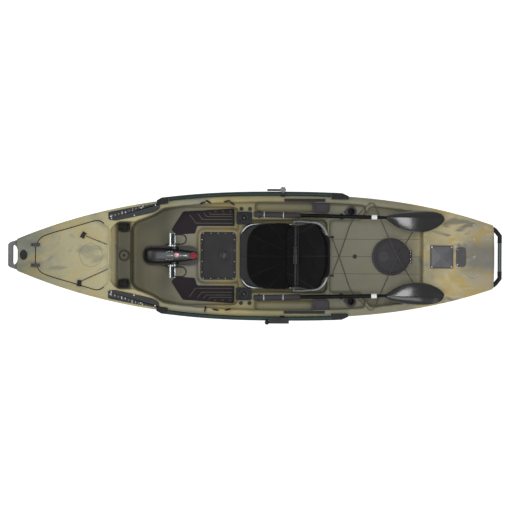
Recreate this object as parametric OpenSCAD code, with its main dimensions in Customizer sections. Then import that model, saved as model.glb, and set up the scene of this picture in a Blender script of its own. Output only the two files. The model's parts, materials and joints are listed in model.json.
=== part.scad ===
// Sit-on-top pedal fishing kayak. Millimetres, +X aft, +Y starboard, +Z up.
// The origin is on the keel flat, midway between bow and stern.

/* [Hull] */
// Length of the moulded hull
hull_l = 3540; // [3000:10:4200]
// Beam of the moulded hull
hull_b = 920; // [780:10:1050]
// Width of the squared-off bow end
bow_end_w = 236; // [160:2:300]
// Width of the transom
stern_end_w = 474; // [300:2:560]
// Station of the greatest beam
widest_x = 200; // [0:10:400]
// Height of the gunwale amidships
sheer_h = 330; // [290:5:380]
// Extra height of the gunwale at the bow
bow_lift = 70; // [20:5:140]
// Rise of the keel at the bow
bow_rocker = 170; // [60:5:230]
// Rise of the keel at the stern
stern_rocker = 120; // [60:5:170]
// Thickness of the moulded skin
wall = 6; // [5:0.5:10]
// Width of the flat along the keel
keel_flat = 200; // [120:10:260]

/* [Wells] */
// Height of the footwell floor
floor_h = 150; // [130:5:180]
// Height of the deck under the seat
seat_deck_h = 200; // [170:5:230]
// Height of the side shelves
shelf_h = 272; // [250:2:300]
// Height of the cargo well floor
cargo_h = 236; // [200:2:270]
// Width of the band left between a well and the side of the hull
gunwale_w = 58; // [40:2:90]
// Half width of the seat deck and of the front of the cargo well
mid_half = 272; // [240:2:300]

/* [Hatches] */
// Length of the centre hatch
centre_l = 268; // [220:2:300]
// Width of the centre hatch
centre_w = 362; // [300:2:400]
// Radius of the round rear hatch ring
rear_r = 141; // [120:1:160]
// Diameter of the hinge pins
pin_d = 6; // [4:0.5:8]
// Thickness of the bow hatch lid
lid_t = 13; // [8:1:20]

/* [Drive] */
// Station of the drive's vertical axis
drive_x = -640; // [-660:5:-620]
// Diameter of the drive well through the hull
drive_well_d = 170; // [150:2:190]
// Length of a fin below its pivot
fin_l = 395; // [300:5:450]
// Widest chord of a fin
fin_w = 96; // [70:2:100]
// Length of a pedal arm, from its pivot to the foot plate
arm_l = 235; // [190:5:260]

/* [Fittings] */
// Diameter of the side rails
rail_d = 32; // [25:1:38]
// Inside diameter of the rod holders and of their mounts
rod_bore_d = 52; // [44:1:58]
// Diameter of the paddle shafts
shaft_d = 29; // [26:0.5:32]
// Diameter of the paddle grips
grip_d = 42; // [34:1:46]
// Diameter of the elastic cords
cord_d = 6; // [4:0.5:8]
// Play between pieces that are fitted to each other
fit = 0.5; // [0.3:0.1:1]

/* [Hidden] */
$fn = 48;
bow_x = -hull_l / 2;
stern_x = hull_l / 2;
half_b = hull_b / 2;
plan_pow = 2.45;
stations = 36;
bilge_steps = 9;
edge_r = 18;
crown = 26;
above = 900;
bore_play = 0.05;
pin_r = pin_d / 2;

// Half beam of the hull at a station: a power curve on each side of the widest one
function beam(x) = x < widest_x
    ? half_b - (half_b - bow_end_w / 2) * pow((widest_x - x) / (widest_x - bow_x), plan_pow)
    : half_b - (half_b - stern_end_w / 2) * pow((x - widest_x) / (stern_x - widest_x), plan_pow);

// Height of the gunwale, and of the keel
function sheer(x) = sheer_h + (x < widest_x
    ? bow_lift * pow((widest_x - x) / (widest_x - bow_x), 2.2)
    : 12 * pow((x - widest_x) / (stern_x - widest_x), 2));
function keel(x) = x < -hull_l * 0.24
    ? bow_rocker * pow((-hull_l * 0.24 - x) / (hull_l * 0.26), 2.1)
    : x > hull_l * 0.27 ? stern_rocker * pow((x - hull_l * 0.27) / (hull_l * 0.23), 1.7) : 0;

// Fullness of the bottom: boxy amidships, finer towards the bow
function fullness(x) = x < widest_x
    ? 3.1 - 1.15 * pow((widest_x - x) / (widest_x - bow_x), 1.6)
    : 3.1 - 0.5 * pow((x - widest_x) / (stern_x - widest_x), 2);

// Height of the deck at a station, for a share q of the way from the centre to the edge
function deck_z(x, q) = sheer(x) + edge_r + crown * (1 - q * q);

// Starboard half of a cross-section, from the keel round to the deck's centre; inset moves it in
function half_section(x, inset) =
    let(b = beam(x) - inset, k = keel(x) + inset, s = sheer(x), p = 2 / fullness(x),
        f = min(keel_flat / 2, 0.42 * b))
    concat(
        [for (i = [0:bilge_steps]) let(t = 90 * i / bilge_steps)
            [f + (b - f) * pow(sin(t), p), s - (s - k) * pow(cos(t), p)]],
        [[b - 0.28 * edge_r, s + 0.68 * edge_r - 0.7 * inset]],
        [for (q = [1, 0.75, 0.5, 0.25]) [(b - edge_r) * q, deck_z(x, q) - inset]]);

function ring(x, inset) =
    let(h = half_section(x, inset), n = len(h))
    concat([[x, 0, keel(x) + inset]],
        [for (i = [0:n - 1]) [x, h[i][0], h[i][1]]],
        [[x, 0, deck_z(x, 0) - inset]],
        [for (i = [n - 1:-1:0]) [x, -h[i][0], h[i][1]]]);

// Closed skin over rings of equal length, listed from -X to +X
module skin(rings) {
    n = len(rings[0]);
    m = len(rings);
    polyhedron(
        points = [for (r = rings) each r],
        faces = concat(
            [for (i = [0:m - 2], j = [0:n - 1]) let(k = (j + 1) % n)
                each [[i * n + j, (i + 1) * n + j, (i + 1) * n + k],
                      [i * n + j, (i + 1) * n + k, i * n + k]]],
            [[for (j = [0:n - 1]) j]],
            [[for (j = [n - 1:-1:0]) (m - 1) * n + j]]),
        convexity = 8);
}

module loft(inset, x0 = bow_x, x1 = stern_x, steps = stations) {
    skin([for (i = [0:steps]) ring(x0 + (x1 - x0) * i / steps, inset)]);
}

// Tube of radius r along a route, with a given number of sides
function unit(v) = v / norm(v);
function tangent(p, i) = unit(p[min(i + 1, len(p) - 1)] - p[max(i - 1, 0)]);
function tube_ring(c, t, r, sides, up) =
    let(s = unit(cross(t, up)), v = cross(t, s))
    [for (j = [0:sides - 1]) let(a = 360 * j / sides) c + r * (cos(a) * s + sin(a) * v)];

module tube(route, r, sides = 10, up = [0, 0, 1]) {
    skin([for (i = [0:len(route) - 1]) tube_ring(route[i], tangent(route, i), r, sides, up)]);
}

// What follows the deck: the space between two copies of the hull's skin
module on_deck(low, high) {
    difference() {
        loft(-high, bow_x, stern_x, 30);
        loft(-low, bow_x - 1, stern_x + 1, 30);
    }
}

// One piece moulded over the deck: an outline cut from the layer between two heights above it
module deck_panel(low, high) {
    resize([0, 0, 0])
    intersection() {
        on_deck(low, high);
        translate([0, 0, sheer_h - 20]) linear_extrude(above) children();
    }
}

module both() {
    children();
    mirror([0, 1, 0]) children();
}

module side(s) {
    if (s > 0) children();
    else mirror([0, 1, 0]) children();
}

module slab(l, w, h, r) {
    linear_extrude(h) rounded(l, w, r);
}

module rounded(l, w, r) {
    union() {
        square([l - 2 * r, w], center = true);
        square([l, w - 2 * r], center = true);
        for (x = [-1, 1], y = [-1, 1])
            translate([x * (l / 2 - r), y * (w / 2 - r)]) circle(r);
    }
}

module rod_x(l, r) { rotate([0, 90, 0]) cylinder(h = l, r = r, center = true); }
module rod_y(l, r) { rotate([90, 0, 0]) cylinder(h = l, r = r, center = true); }

// Stations along the boat
ledge_x = -1030;
footwell_x = -930;
seat_x = -130;
cargo_x = 543;
aft_deck_x = 1240;
shelf_half = 402;
floor_half = 368;
tray_h = shelf_h - 32;
ledge_h = sheer_h - 16;
lid_front_x = -1617;
rod_holder_x = 714;
rod_holder_y = 337;
lid_back_x = -1066;
drive_r = drive_well_d / 2;
centre_x = -418 + centre_l / 2;
rear_x = 1013;
platform_h = floor_h + 30;
platform_rim = 24;

// Starboard edge of a well that runs along the hull's side, a gunwale's width inside it
function inner_edge(x0, x1, n) =
    [for (i = [0:n]) let(x = x0 + (x1 - x0) * i / n) [x, beam(x) - gunwale_w]];

module mirrored_outline(edge) {
    polygon(concat(edge, [for (i = [len(edge) - 1:-1:0]) [edge[i][0], -edge[i][1]]]));
}

module footwell_outline() {
    mirrored_outline([[footwell_x, 240], [-770, 300], [-700, 346], [-560, floor_half],
        [seat_x, floor_half]]);
}

module ledge_outline() {
    mirrored_outline([[ledge_x, 250], [footwell_x + 30, 250]]);
}

module seat_outline() {
    mirrored_outline([[seat_x - 1, mid_half], [cargo_x - 10, mid_half]]);
}

module shelf_outline() {
    mirrored_outline(concat([[-700, 352]], inner_edge(-560, 815, 7)));
}

module tray_outline() {
    translate([218, 0]) for (y = [-1, 1])
        translate([0, y * (332 + shelf_half) / 2]) square([448, shelf_half - 332], center = true);
}

module cargo_outline() {
    mirrored_outline(concat([[cargo_x + 8, mid_half], [780, mid_half]],
        inner_edge(850, aft_deck_x, 5)));
}

// The wells: each is an outline, by number, and the height of its floor
wells = [[0, floor_h], [1, ledge_h], [2, seat_deck_h], [3, shelf_h], [4, tray_h], [5, cargo_h]];

module well_outline(n) {
    if (n == 0) footwell_outline();
    if (n == 1) ledge_outline();
    if (n == 2) seat_outline();
    if (n == 3) shelf_outline();
    if (n == 4) tray_outline();
    if (n == 5) cargo_outline();
}

module well_walls() {
    for (w = wells)
        translate([0, 0, w[1] - wall]) linear_extrude(above)
            offset(delta = wall) well_outline(w[0]);
    // the tube that the drive drops into, and the raised rim round the centre hatch
    translate([drive_x, 0, 0]) cylinder(h = floor_h, r = drive_r + wall);
}

module well_voids() {
    difference() {
        for (w = wells)
            translate([0, 0, w[1]]) linear_extrude(above) well_outline(w[0]);
        translate([centre_x, 0, 0])
            slab(centre_l + 2 * platform_rim, centre_w + 2 * platform_rim, platform_h, 45);
    }
    translate([drive_x, 0, -1]) cylinder(h = above, r = drive_r);
}

// Openings into the hull: under the bow lid, the centre bin, the rear hatch, the rod holders
module hatch_openings() {
    translate([0, 0, sheer_h - 40]) linear_extrude(above) offset(delta = -46) bow_lid_outline();
    translate([centre_x, 0, floor_h - 20]) slab(centre_l - 40, centre_w - 40, above, 30);
    translate([rear_x, 0, cargo_h - 20]) cylinder(h = above, r = rear_r - 24);
    both() translate([rod_holder_x, rod_holder_y, shelf_h - 30])
        cylinder(h = above, r = rod_bore_d / 2 + 5);
    translate([mast_x, 0, ledge_h - 30]) cylinder(h = above, r = 21);
    both() translate([-983, 210, ledge_h - 60]) slab(76, 60, above, 4);
    translate([rudder_x, 0, 0]) cylinder(h = sheer_h / 2, r = rudder_bush_r + 0.2);
    for (y = bolt_ys) translate([bolt_x, y, sheer_h - 20]) cylinder(h = above, r = insert_r + 0.3);
}

module bow_lid_outline() {
    mirrored_outline([[lid_front_x, 66], [-1590, 118], [-1560, 138], [-1490, 163], [-1371, 197],
        [-1195, 250], [-1170, 254], [-1141, 245], [lid_back_x, 183]]);
}

mast_x = -980;
bow_block = 40;
bow_notch = 14;
part_gap = 0.2;
seam_drop = 9;

// Space above a line just under the gunwale, where the bottom is parted from the deck
module above_gunwale(lift = 0) {
    skin([for (i = [0:stations]) let(x = bow_x - 1 + (hull_l + 2) * i / stations, z = sheer(x) - seam_drop + lift)
        [[x, -above, z], [x, above, z], [x, above, above], [x, -above, above]]]);
}

module hollow(inset) { loft(inset, bow_x + bow_block, stern_x - wall, 28); }

module cut_open() {
    difference() {
        children();
        well_voids();
        hatch_openings();
        // the notch that gives a hand room behind the bow handle
        translate([bow_x - 1, -60, 0]) cube([bow_notch + 1, 120, above]);
    }
}

// The moulding is one skin. It is given as two nodes, the bottom and the deck with its wells
module hull_shell() {
    color("darkkhaki") resize([0, 0, 0]) cut_open() difference() {
        loft(0);
        hollow(wall);
        above_gunwale();
    }
}

module deck_shell() {
    color("darkkhaki") resize([0, 0, 0]) cut_open() {
        difference() {
            upper_half();
            hollow(wall);
        }
        intersection() {
            union() {
                upper_half();
                hollow(wall + part_gap);
            }
            union() {
                well_walls();
                translate([centre_x, 0, floor_h - wall])
                    slab(centre_l + 2 * platform_rim, centre_w + 2 * platform_rim,
                         platform_h - floor_h + wall, 45);
            }
        }
    }
}

module upper_half() {
    intersection() {
        loft(0);
        above_gunwale(part_gap);
    }
}

// ---- Hinges, used at all three hatches. The pin runs along Y through the origin and the
// ---- lid lies towards +X, with its top at z = 0.
hinge_w = 14;
cheek_w = 5;
hinge_r = 7;
strap_t = 4;

module hinge_block(drop) {
    difference() {
        union() {
            rod_y(hinge_w, hinge_r);
            translate([-hinge_r, -hinge_w / 2, -drop]) cube([2 * hinge_r, hinge_w, drop]);
        }
        rod_y(hinge_w + 2, pin_r + bore_play);
    }
}

module hinge_pin() { rod_y(hinge_w + 2 * (cheek_w + fit) + 3, pin_r); }

module hinge_fork(reach, lift = -1) {
    width = hinge_w + 2 * (cheek_w + fit);
    difference() {
        union() {
            both() translate([0, hinge_w / 2 + fit + cheek_w / 2, 0]) {
                rod_y(cheek_w, hinge_r);
                translate([0, -cheek_w / 2, lift]) cube([reach, cheek_w, strap_t]);
            }
            translate([hinge_r + 3, -width / 2, lift]) cube([reach - hinge_r - 3, width, strap_t]);
        }
        rod_y(width + 2, pin_r + bore_play);
    }
}

// ---- Bow ----
bow_hinge_x = -1645;
bow_hinge_y = 76;
seal_t = 3;
lid_low = seal_t + 0.8;
lid_top = lid_low + lid_t;
function on_deck_z(x, y) = deck_z(x, min(1, abs(y) / (beam(x) - edge_r)));
bow_hinge_z = on_deck_z(bow_hinge_x, bow_hinge_y) + lid_top;

module at_bow_hinges() {
    both() translate([bow_hinge_x, bow_hinge_y, bow_hinge_z]) children();
}

module bow_hatch_lid() {
    color("khaki") deck_panel(lid_low, lid_top) bow_lid_outline();
}

module bow_hatch_seal() {
    color("black") deck_panel(0.4, seal_t + 0.4) difference() {
        offset(delta = -12) bow_lid_outline();
        offset(delta = -40) bow_lid_outline();
    }
}

module bow_hatch_straps() {
    color("dimgray") at_bow_hinges() hinge_fork(58, 3);
}

module latch_places() {
    translate([-1271, 148]) rotate(-30) children();
    translate([-1300, -208]) rotate(-8) children();
}

module bow_hatch_latches() {
    color("black") deck_panel(lid_top + 0.3, lid_top + 10) latch_places()
        square([30, 46], center = true);
}

function lid_cord(points) =
    [for (p = points) [p[0], p[1], on_deck_z(p[0], p[1]) + lid_top + cord_r + 1]];
cord_r = cord_d / 2;
lid_cord_starboard = [[-1250, 140], [-1200, 120], [-1150, 100], [-1098, 80]];
lid_cord_port = [[-1282, -190], [-1210, -157], [-1150, -130], [-1090, -102]];

module bow_hatch_cords() {
    color("black") {
        tube(lid_cord(lid_cord_starboard), cord_r, 8);
        tube(lid_cord(lid_cord_port), cord_r, 8);
    }
}

module bow_plug_disc() {
    deck_panel(0.3, 5) translate([-1708, 0]) scale([27 / 37, 1]) circle(37);
}

// Moulded handle bolted to the bow end, open in the middle for a hand
bow_grip_z = 392;
bow_grip_t = 34;
handle_x = bow_x - 59;

module bow_handle() {
    color("dimgray") translate([0, 0, bow_grip_z - bow_grip_t / 2]) linear_extrude(bow_grip_t)
        difference() {
            mirrored_outline([[handle_x, 78], [handle_x + 14, 93], [bow_x - fit, 108]]);
            mirrored_outline([[handle_x + 34, 62], [handle_x + 42, 74],
                [bow_x - 12, 74], [bow_x + 1, 61]]);
        }
}

// ---- Ledge and mast socket ----
module ledge_pockets() {
    color("black") both() translate([-983, 210, ledge_h - 58]) difference() {
        slab(75, 59, 61, 4);
        translate([0, 0, 4]) slab(67, 51, 70, 3);
    }
}

mast_bore_d = 22;
mast_depth = 120;
module mast_socket() {
    color("darkolivegreen") translate([mast_x, 0, ledge_h - mast_depth + 26]) difference() {
        union() {
            cylinder(h = mast_depth - 26, r = 20.5);
            translate([0, 0, mast_depth - 25.7]) cylinder(h = 25.7, r1 = 45, r2 = 27);
            translate([0, 0, mast_depth - 27]) cylinder(h = 10, r = 20.5);
        }
        translate([0, 0, 8]) cylinder(h = mast_depth, r = mast_bore_d / 2);
    }
}

module gear_board_outline() {
    polygon(concat([[-1084, 262], [-1037, 256], [-765, 316], [-713, 358]],
        [for (x = [-713, -840, -965, -1092]) [x, beam(x) - 19]]));
}

module gear_board(s) {
    color("darkslategray") deck_panel(0.4, 9) side(s) gear_board_outline();
}

// ---- Side rails ----
rail_r = rail_d / 2;
rail_x0 = -649;
rail_x1 = 559;
rail_out = rail_r - 12;
rail_up = rail_r + 12;
rail_gap = 3;
function rail_point(x) = [x, beam(x) + rail_out, sheer(x) + rail_up];

module rail(s) {
    color("darkslategray") side(s)
        tube([for (i = [0:12]) rail_point(rail_x0 + (rail_x1 - rail_x0) * i / 12)], rail_r, 12);
}

module rail_ends() {
    color("black") deck_panel(0.4, 26) both() {
        polygon([for (p = [[-734, -17], [-734, 4], [-700, 20], [rail_x0 - rail_gap, 20],
                           [rail_x0 - rail_gap, -30], [-710, -30], [-711, -17]])
                [p[0], beam(p[0]) + p[1]]]);
        polygon([for (p = [[rail_x1 + rail_gap, -30], [rail_x1 + rail_gap, 20], [640, 20],
                           [687, 0], [687, -24]]) [p[0], beam(p[0]) + p[1]]]);
    }
}

clamp_x = widest_x;
clamp_l = 34;
clamp_y = rail_point(clamp_x)[1];
clamp_z = rail_point(clamp_x)[2];
clamp_out = 496;
clamp_t = 14;

module clamp_body() {
    difference() {
        union() {
            translate([clamp_x, clamp_y, clamp_z]) rod_x(clamp_l, rail_r + 6);
            translate([clamp_x - 17, clamp_y, clamp_z + rail_r - 4]) cube([34, clamp_out - clamp_y, clamp_t]);
            children();
        }
        translate([clamp_x, clamp_y, clamp_z]) rod_x(clamp_l + 400, rail_r + bore_play);
        // open towards the gunwale
        translate([clamp_x - above / 2, clamp_y - 54, clamp_z - 56]) cube([above, 50, 50]);
    }
}

module rail_clamp_starboard() {
    color("black") difference() {
        clamp_body() {
            translate([83, clamp_out - 14, clamp_z + rail_r - 4]) cube([clamp_x - 83, 15, clamp_t]);
            translate([clamp_x, clamp_out - 4, clamp_z + rail_r - 4]) cylinder(h = clamp_t, r = 17);
        }
        translate([clamp_x, clamp_out - 4, 0]) cylinder(h = above, r = 4 + bore_play);
    }
}

module clamp_knob() {
    color("silver") translate([clamp_x, clamp_out - 4, clamp_z + rail_r - 4]) {
        translate([0, 0, -12]) cylinder(h = clamp_t + 14, r = 4);
        difference() {
            translate([0, 0, clamp_t + fit]) cylinder(h = 16, r = 22);
            for (a = [0:60:300]) rotate(a + 20) translate([25, 0, clamp_t]) cylinder(h = 30, r = 6);
        }
    }
}

module rail_clamp_port() {
    color("black") mirror([0, 1, 0]) clamp_body() {
        translate([98, clamp_out - 30, clamp_z + rail_r - 4]) cube([150, 34, clamp_t]);
        translate([98, clamp_out - 4, clamp_z + rail_r + 4]) rod_x(30, 7);
        translate([85, clamp_out - 4, clamp_z + rail_r + 4]) sphere(17);
    }
}

// ---- Foot pads ----
module foot_pad_outline() {
    polygon([[-608, 160], [-638, 193], [-634, 208], [-553, 334], [-165, 360], [-161, 226],
        [-446, 226], [-462, 169]]);
}

module foot_pad(s) {
    color("dimgray") side(s) translate([0, 0, floor_h + 0.3]) linear_extrude(8) foot_pad_outline();
}

// ---- Centre hatch ----
centre_rim = 18;
frame_t = 8;
panel_t = 10;
centre_top = platform_h + frame_t + panel_t + 1;
centre_hinge_y = 100;

module centre_hatch_frame() {
    color("black") translate([centre_x, 0, platform_h + 0.3]) difference() {
        slab(centre_l, centre_w, frame_t, 33);
        translate([0, 0, -1]) slab(centre_l - 60, centre_w - 60, frame_t + 2, 20);
    }
}

module centre_hatch_lid() {
    color("black") {
        translate([centre_x + 3, 0, centre_top - panel_t]) difference() {
            slab(centre_l - 2 * centre_rim - 6, centre_w - 2 * centre_rim, panel_t, 24);
            translate([latch_x - centre_x - 3, 0, -1]) cylinder(h = 30, r = 9 + bore_play);
        }
        at_centre_hinges() hinge_fork(44);
    }
}

module at_centre_hinges() {
    both() translate([centre_x - centre_l / 2 + 9, centre_hinge_y, centre_top]) children();
}

latch_x = -242;
latch_r = 37;
module centre_hatch_latch() {
    color("dimgray") translate([latch_x, 0, centre_top]) {
        translate([0, 0, -panel_t - 2]) cylinder(h = panel_t + 4, r = 9);
        translate([0, 0, fit]) cylinder(h = 7, r = latch_r);
        translate([-4, -latch_r + 6, 6]) cube([8, 2 * latch_r - 12, 9]);
    }
}

bin_floor = 48;
module centre_hatch_bin() {
    color("dimgray") translate([centre_x, 0, bin_floor]) difference() {
        slab(centre_l - 42, centre_w - 42, platform_h - bin_floor, 28);
        translate([0, 0, 3]) slab(centre_l - 48, centre_w - 48, above, 25);
    }
}

// ---- Pedal drive ----
arm_x = drive_x + 24;
arm_z = floor_h + 36;
arm_y = 74;
pedal_out = 158;
spine_half = 65;

module drive_spine() {
    color("black") difference() {
        union() {
            translate([drive_x - 3, 0, floor_h + 0.4]) slab(401, 2 * spine_half, 30, 52);
            hull() {
                translate([drive_x - 146, 0, floor_h + 62]) sphere(52, $fn = 28);
                translate([drive_x - 40, 0, floor_h + 56]) sphere(46, $fn = 28);
            }
            hull() {
                translate([drive_x - 40, 0, floor_h + 56]) sphere(46, $fn = 28);
                translate([drive_x + 168, 0, floor_h + 40]) sphere(30, $fn = 28);
            }
            translate([drive_x, 0, 18]) cylinder(h = floor_h, r = drive_r - 20);
        }
        translate([arm_x, 0, arm_z]) rod_y(300, pedal_shaft_r + bore_play);
        translate([drive_x, 0, 17]) cylinder(h = 42, r = 15 + bore_play);
        translate([knob_x, 0, floor_h + 40]) cylinder(h = 60, r = 6 + bore_play);
    }
}

pedal_shaft_r = 8;
module pedal_shaft() {
    color("silver") translate([arm_x, 0, arm_z]) rod_y(2 * (arm_y + 16), pedal_shaft_r);
}

module pedal_arm(s) {
    color("silver") side(s) translate([arm_x, 0, arm_z]) difference() {
        union() {
            translate([0, arm_y, 0]) rod_y(14, 17);
            translate([-9, arm_y - 6, 0]) cube([18, 12, arm_l + 12]);
            for (p = [[-13, arm_l + 8], [12, arm_l - 112]])
                translate([p[0], (arm_y + pedal_out) / 2, p[1]]) rod_y(pedal_out - arm_y + 12, 9);
        }
        translate([0, arm_y, 0]) rod_y(30, pedal_shaft_r + bore_play);
    }
}

module pedal_plate(s) {
    color("black") side(s) translate([arm_x - 7, arm_y + 9, arm_z + arm_l - 102])
        cube([14, pedal_out - arm_y - 10, 100]);
}

module pedal_strap(s) {
    width = pedal_out - arm_y - 10;
    color("black") side(s) translate([arm_x + 7.5, arm_y + 9 + width / 2, arm_z + arm_l - 62])
        linear_extrude(38) difference() {
            union() {
                translate([0, -width / 2]) square([58, width]);
                translate([58, 0]) circle(width / 2);
            }
            translate([-1, -width / 2 + 4]) square([59, width - 8]);
            translate([58, 0]) circle(width / 2 - 4);
        }
}

knob_x = -468;
module drive_knob() {
    color("firebrick") translate([knob_x, 0, floor_h + 77]) {
        translate([0, 0, -26]) cylinder(h = 28, r = 6);
        cylinder(h = 20, r = 26);
        translate([-24, -7, 20]) cube([48, 14, 10]);
    }
}

// Turntable at the foot of the drive, with the fore-and-aft shaft that the fins swing on
carrier_l = 250;
shaft_z = -38;
fin_gap = 62;
module drive_turntable() {
    color("black") translate([drive_x, 0, 0]) difference() {
        union() {
            translate([0, 0, -4]) cylinder(h = 21, r = drive_r - 3);
            translate([0, 0, 10]) cylinder(h = 46, r = 15);
            translate([-carrier_l / 2, -22, -20]) cube([carrier_l, 44, 16]);
            for (x = [-carrier_l / 2 + 6, 0, carrier_l / 2 - 6]) translate([x, 0, 0]) {
                translate([-5, -12, shaft_z]) cube([10, 24, -shaft_z - 10]);
                translate([0, 0, shaft_z]) rod_x(10, 12);
            }
        }
        translate([0, 0, shaft_z]) rod_x(carrier_l + 20, 6 + bore_play);
    }
}

module fin_shaft() {
    color("silver") translate([drive_x, 0, shaft_z]) rod_x(carrier_l, 6);
}

module fin_mast(s) {
    color("silver") translate([drive_x + s * fin_gap, 0, shaft_z]) difference() {
        union() {
            rod_x(92, 12);
            translate([0, 0, -fin_l + 40]) cylinder(h = fin_l - 46, r = 6);
        }
        rod_x(100, 6 + bore_play);
    }
}

// Flexible blade sleeved over its mast, widest near the top and swept to a rounded tip
module fin_blade(s) {
    color("black") translate([drive_x + s * fin_gap, 0, shaft_z]) difference() {
        rotate([90, 0, 0]) linear_extrude(17, center = true)
            polygon([[-11, -34], [-11, -fin_l + 30], [2, -fin_l + 4], [22, -fin_l],
                [52, -fin_l + 30], [74, -fin_l * 0.62], [fin_w - 11, -fin_l * 0.3],
                [fin_w - 12, -60], [60, -38]]);
        for (y = [-1, 1]) translate([16, y * 4 + (y < 0 ? -10 : 0), -fin_l - 1])
            cube([fin_w, 10, fin_l + 2]);
        translate([0, 0, -fin_l]) cylinder(h = fin_l, r = 6 + bore_play);
    }
}

// ---- Steering controls on the side shelves ----
steer_x = -87;
steer_y = 283;
steer_t = 26;
seat_way = [[8, -50], [62, -29], [62, -50]];
module steering_base(s) {
    color("black") side(s) translate([steer_x, steer_y, shelf_h + 0.3]) difference() {
        slab(119, 97, steer_t, 14);
        translate([0, 0, 8]) cylinder(h = 40, r = 8 + bore_play);
        translate([0, 0, -1]) linear_extrude(steer_t + 2) polygon(seat_way);
    }
}

module steering_knob(s) {
    color("dimgray") side(s) translate([steer_x, steer_y, shelf_h + 0.3 + steer_t]) {
        translate([0, 0, -16]) cylinder(h = 18, r = 8);
        translate([0, 0, fit]) cylinder(h = 12, r = 30);
        translate([0, 0, 12]) cylinder(h = 22, r1 = 20, r2 = 14);
        translate([-44, -8, 4]) cube([40, 16, 10]);
    }
}

module side_plug_discs() {
    both() for (x = [-109, -45])
        translate([x, 353, shelf_h + 0.3]) cylinder(h = 5, r = 15);
}

// ---- Seat: an aluminium frame that lifts to a high position, and a back that folds ----
seat_h = seat_deck_h + 62;
tube_r = 12;
seat_front = -110;
seat_back_x = 262;
seat_half = 236;
back_x = 290;
back_z = seat_h + 76;
back_lean = 42;
back_l = 370;

module seat_frame() {
    seat_z = seat_h - tube_r - 1;
    color("silver") {
        tube([[seat_back_x, seat_half, seat_z], [100, seat_half, seat_z], [-20, seat_half, seat_z],
            [-70, seat_half - 18, seat_z], [seat_front + 8, seat_half - 60, seat_z],
            [seat_front, seat_half - 110, seat_z], [seat_front, 0, seat_z],
            [seat_front, -seat_half + 110, seat_z], [seat_front + 8, -seat_half + 60, seat_z],
            [-70, -seat_half + 18, seat_z], [-20, -seat_half, seat_z], [100, -seat_half, seat_z],
            [seat_back_x, -seat_half, seat_z]], tube_r, 10);
        for (y = [-1, 1], x = [10, 235])
            translate([x, y * seat_half, seat_deck_h + 0.4])
                cylinder(h = seat_z - seat_deck_h, r = tube_r - 2);
    }
}

crossbar_x = seat_back_x + tube_r + 2;
hinge_plate_y = 237;
back_hub_y = 256;
module seat_rear_bar() {
    color("silver") difference() {
        union() {
            translate([crossbar_x, 0, seat_h - tube_r - 1]) rod_y(2 * hinge_plate_y + 6, tube_r - 2);
            both() translate([crossbar_x - tube_r + 2, hinge_plate_y - 5, seat_h - tube_r - 9])
                cube([back_x - crossbar_x + 22, 10, back_z - seat_h + tube_r + 19]);
        }
        translate([back_x, 0, back_z]) rod_y(600, pin_r + bore_play);
    }
}

module seat_base() {
    color("black") translate([0, 0, seat_h]) linear_extrude(34) offset(r = 24) offset(delta = -24)
        mirrored_outline([[seat_front - 8, 150], [seat_front + 2, 174], [-62, 206], [-14, 236],
            [200, 252], [seat_back_x - 6, 240]]);
}

module at_back() {
    translate([back_x, 0, back_z]) rotate([0, back_lean, 0]) children();
}

// The back's frame, in its own plane: a loop of tube behind the pad, hinged at its lower ends
back_half = 240;
module seat_back_frame() {
    route = [[0, back_hub_y, 8], [6, back_hub_y, 60], [13, back_half + 8, 130],
        [18, back_half, 205], [22, back_half - 18, 250], [26, back_half - 56, 290],
        [28, back_half - 114, 312], [28, 0, 316]];
    color("silver") at_back() {
        tube(concat(route, [for (i = [len(route) - 2:-1:0])
            [route[i][0], -route[i][1], route[i][2]]]), tube_r, 10, [1, 0, 0]);
        both() translate([0, back_hub_y, 0]) difference() {
            union() {
                rod_y(12, 11);
                translate([-8, -6, 0]) cube([16, 12, 16]);
            }
            rod_y(20, pin_r + bore_play);
        }
    }
}

module seat_back_pin() {
    color("silver") translate([back_x, 0, back_z]) both() translate([0, (hinge_plate_y + back_hub_y) / 2, 0]) rod_y(36, pin_r);
}

module seat_back() {
    color("black") at_back() translate([-38, 0, -30]) rotate([90, 0, 90]) linear_extrude(34)
        offset(r = 40) offset(delta = -40)
            polygon([[-212, 0], [212, 0], [222, 70], [218, 240], [150, 336], [84, 360],
                [-84, 360], [-150, 336], [-218, 240], [-222, 70]]);
}

module seat_buckle() {
    color("dimgray") at_back() translate([-47.6, 0, 48]) rotate([0, 90, 0]) slab(44, 120, 9, 8);
}

// ---- Side trays ----
module mesh_pouches() {
    color("dimgray") both() translate([486, 366, shelf_h + 0.4]) difference() {
        slab(92, 60, 54, 10);
        translate([0, 0, 3]) slab(86, 54, 80, 8);
    }
}

module gunwale_strips() {
    color("dimgray") deck_panel(0.4, 4) both() translate([210, shelf_half + 3]) square([305, 22]);
}

module rod_holders() {
    color("dimgray") both() translate([rod_holder_x, rod_holder_y, shelf_h]) difference() {
        union() {
            translate([0, 0, 0.4]) hull() {
                cylinder(h = 7, r = rod_bore_d / 2 + 14);
                translate([-42, -4, 0]) cylinder(h = 7, r = 14);
            }
            translate([0, 0, -150]) cylinder(h = 152, r = rod_bore_d / 2 + 4);
        }
        translate([0, 0, -146]) cylinder(h = 200, r = rod_bore_d / 2);
    }
}

// ---- Paddles: each lies on one sloping line from its grip in the tray to its blade aft ----
paddle_x = -13;
paddle_y = 312;
paddle_z = 296;
paddle_rise = 4.6;
paddle_yaw = 1.3;
grip_l = 349;
shaft_end = 876;
blade_end = 1412;

module on_paddle(s) {
    side(s) translate([paddle_x, paddle_y, paddle_z]) rotate([0, -paddle_rise, -paddle_yaw]) children();
}

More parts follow.
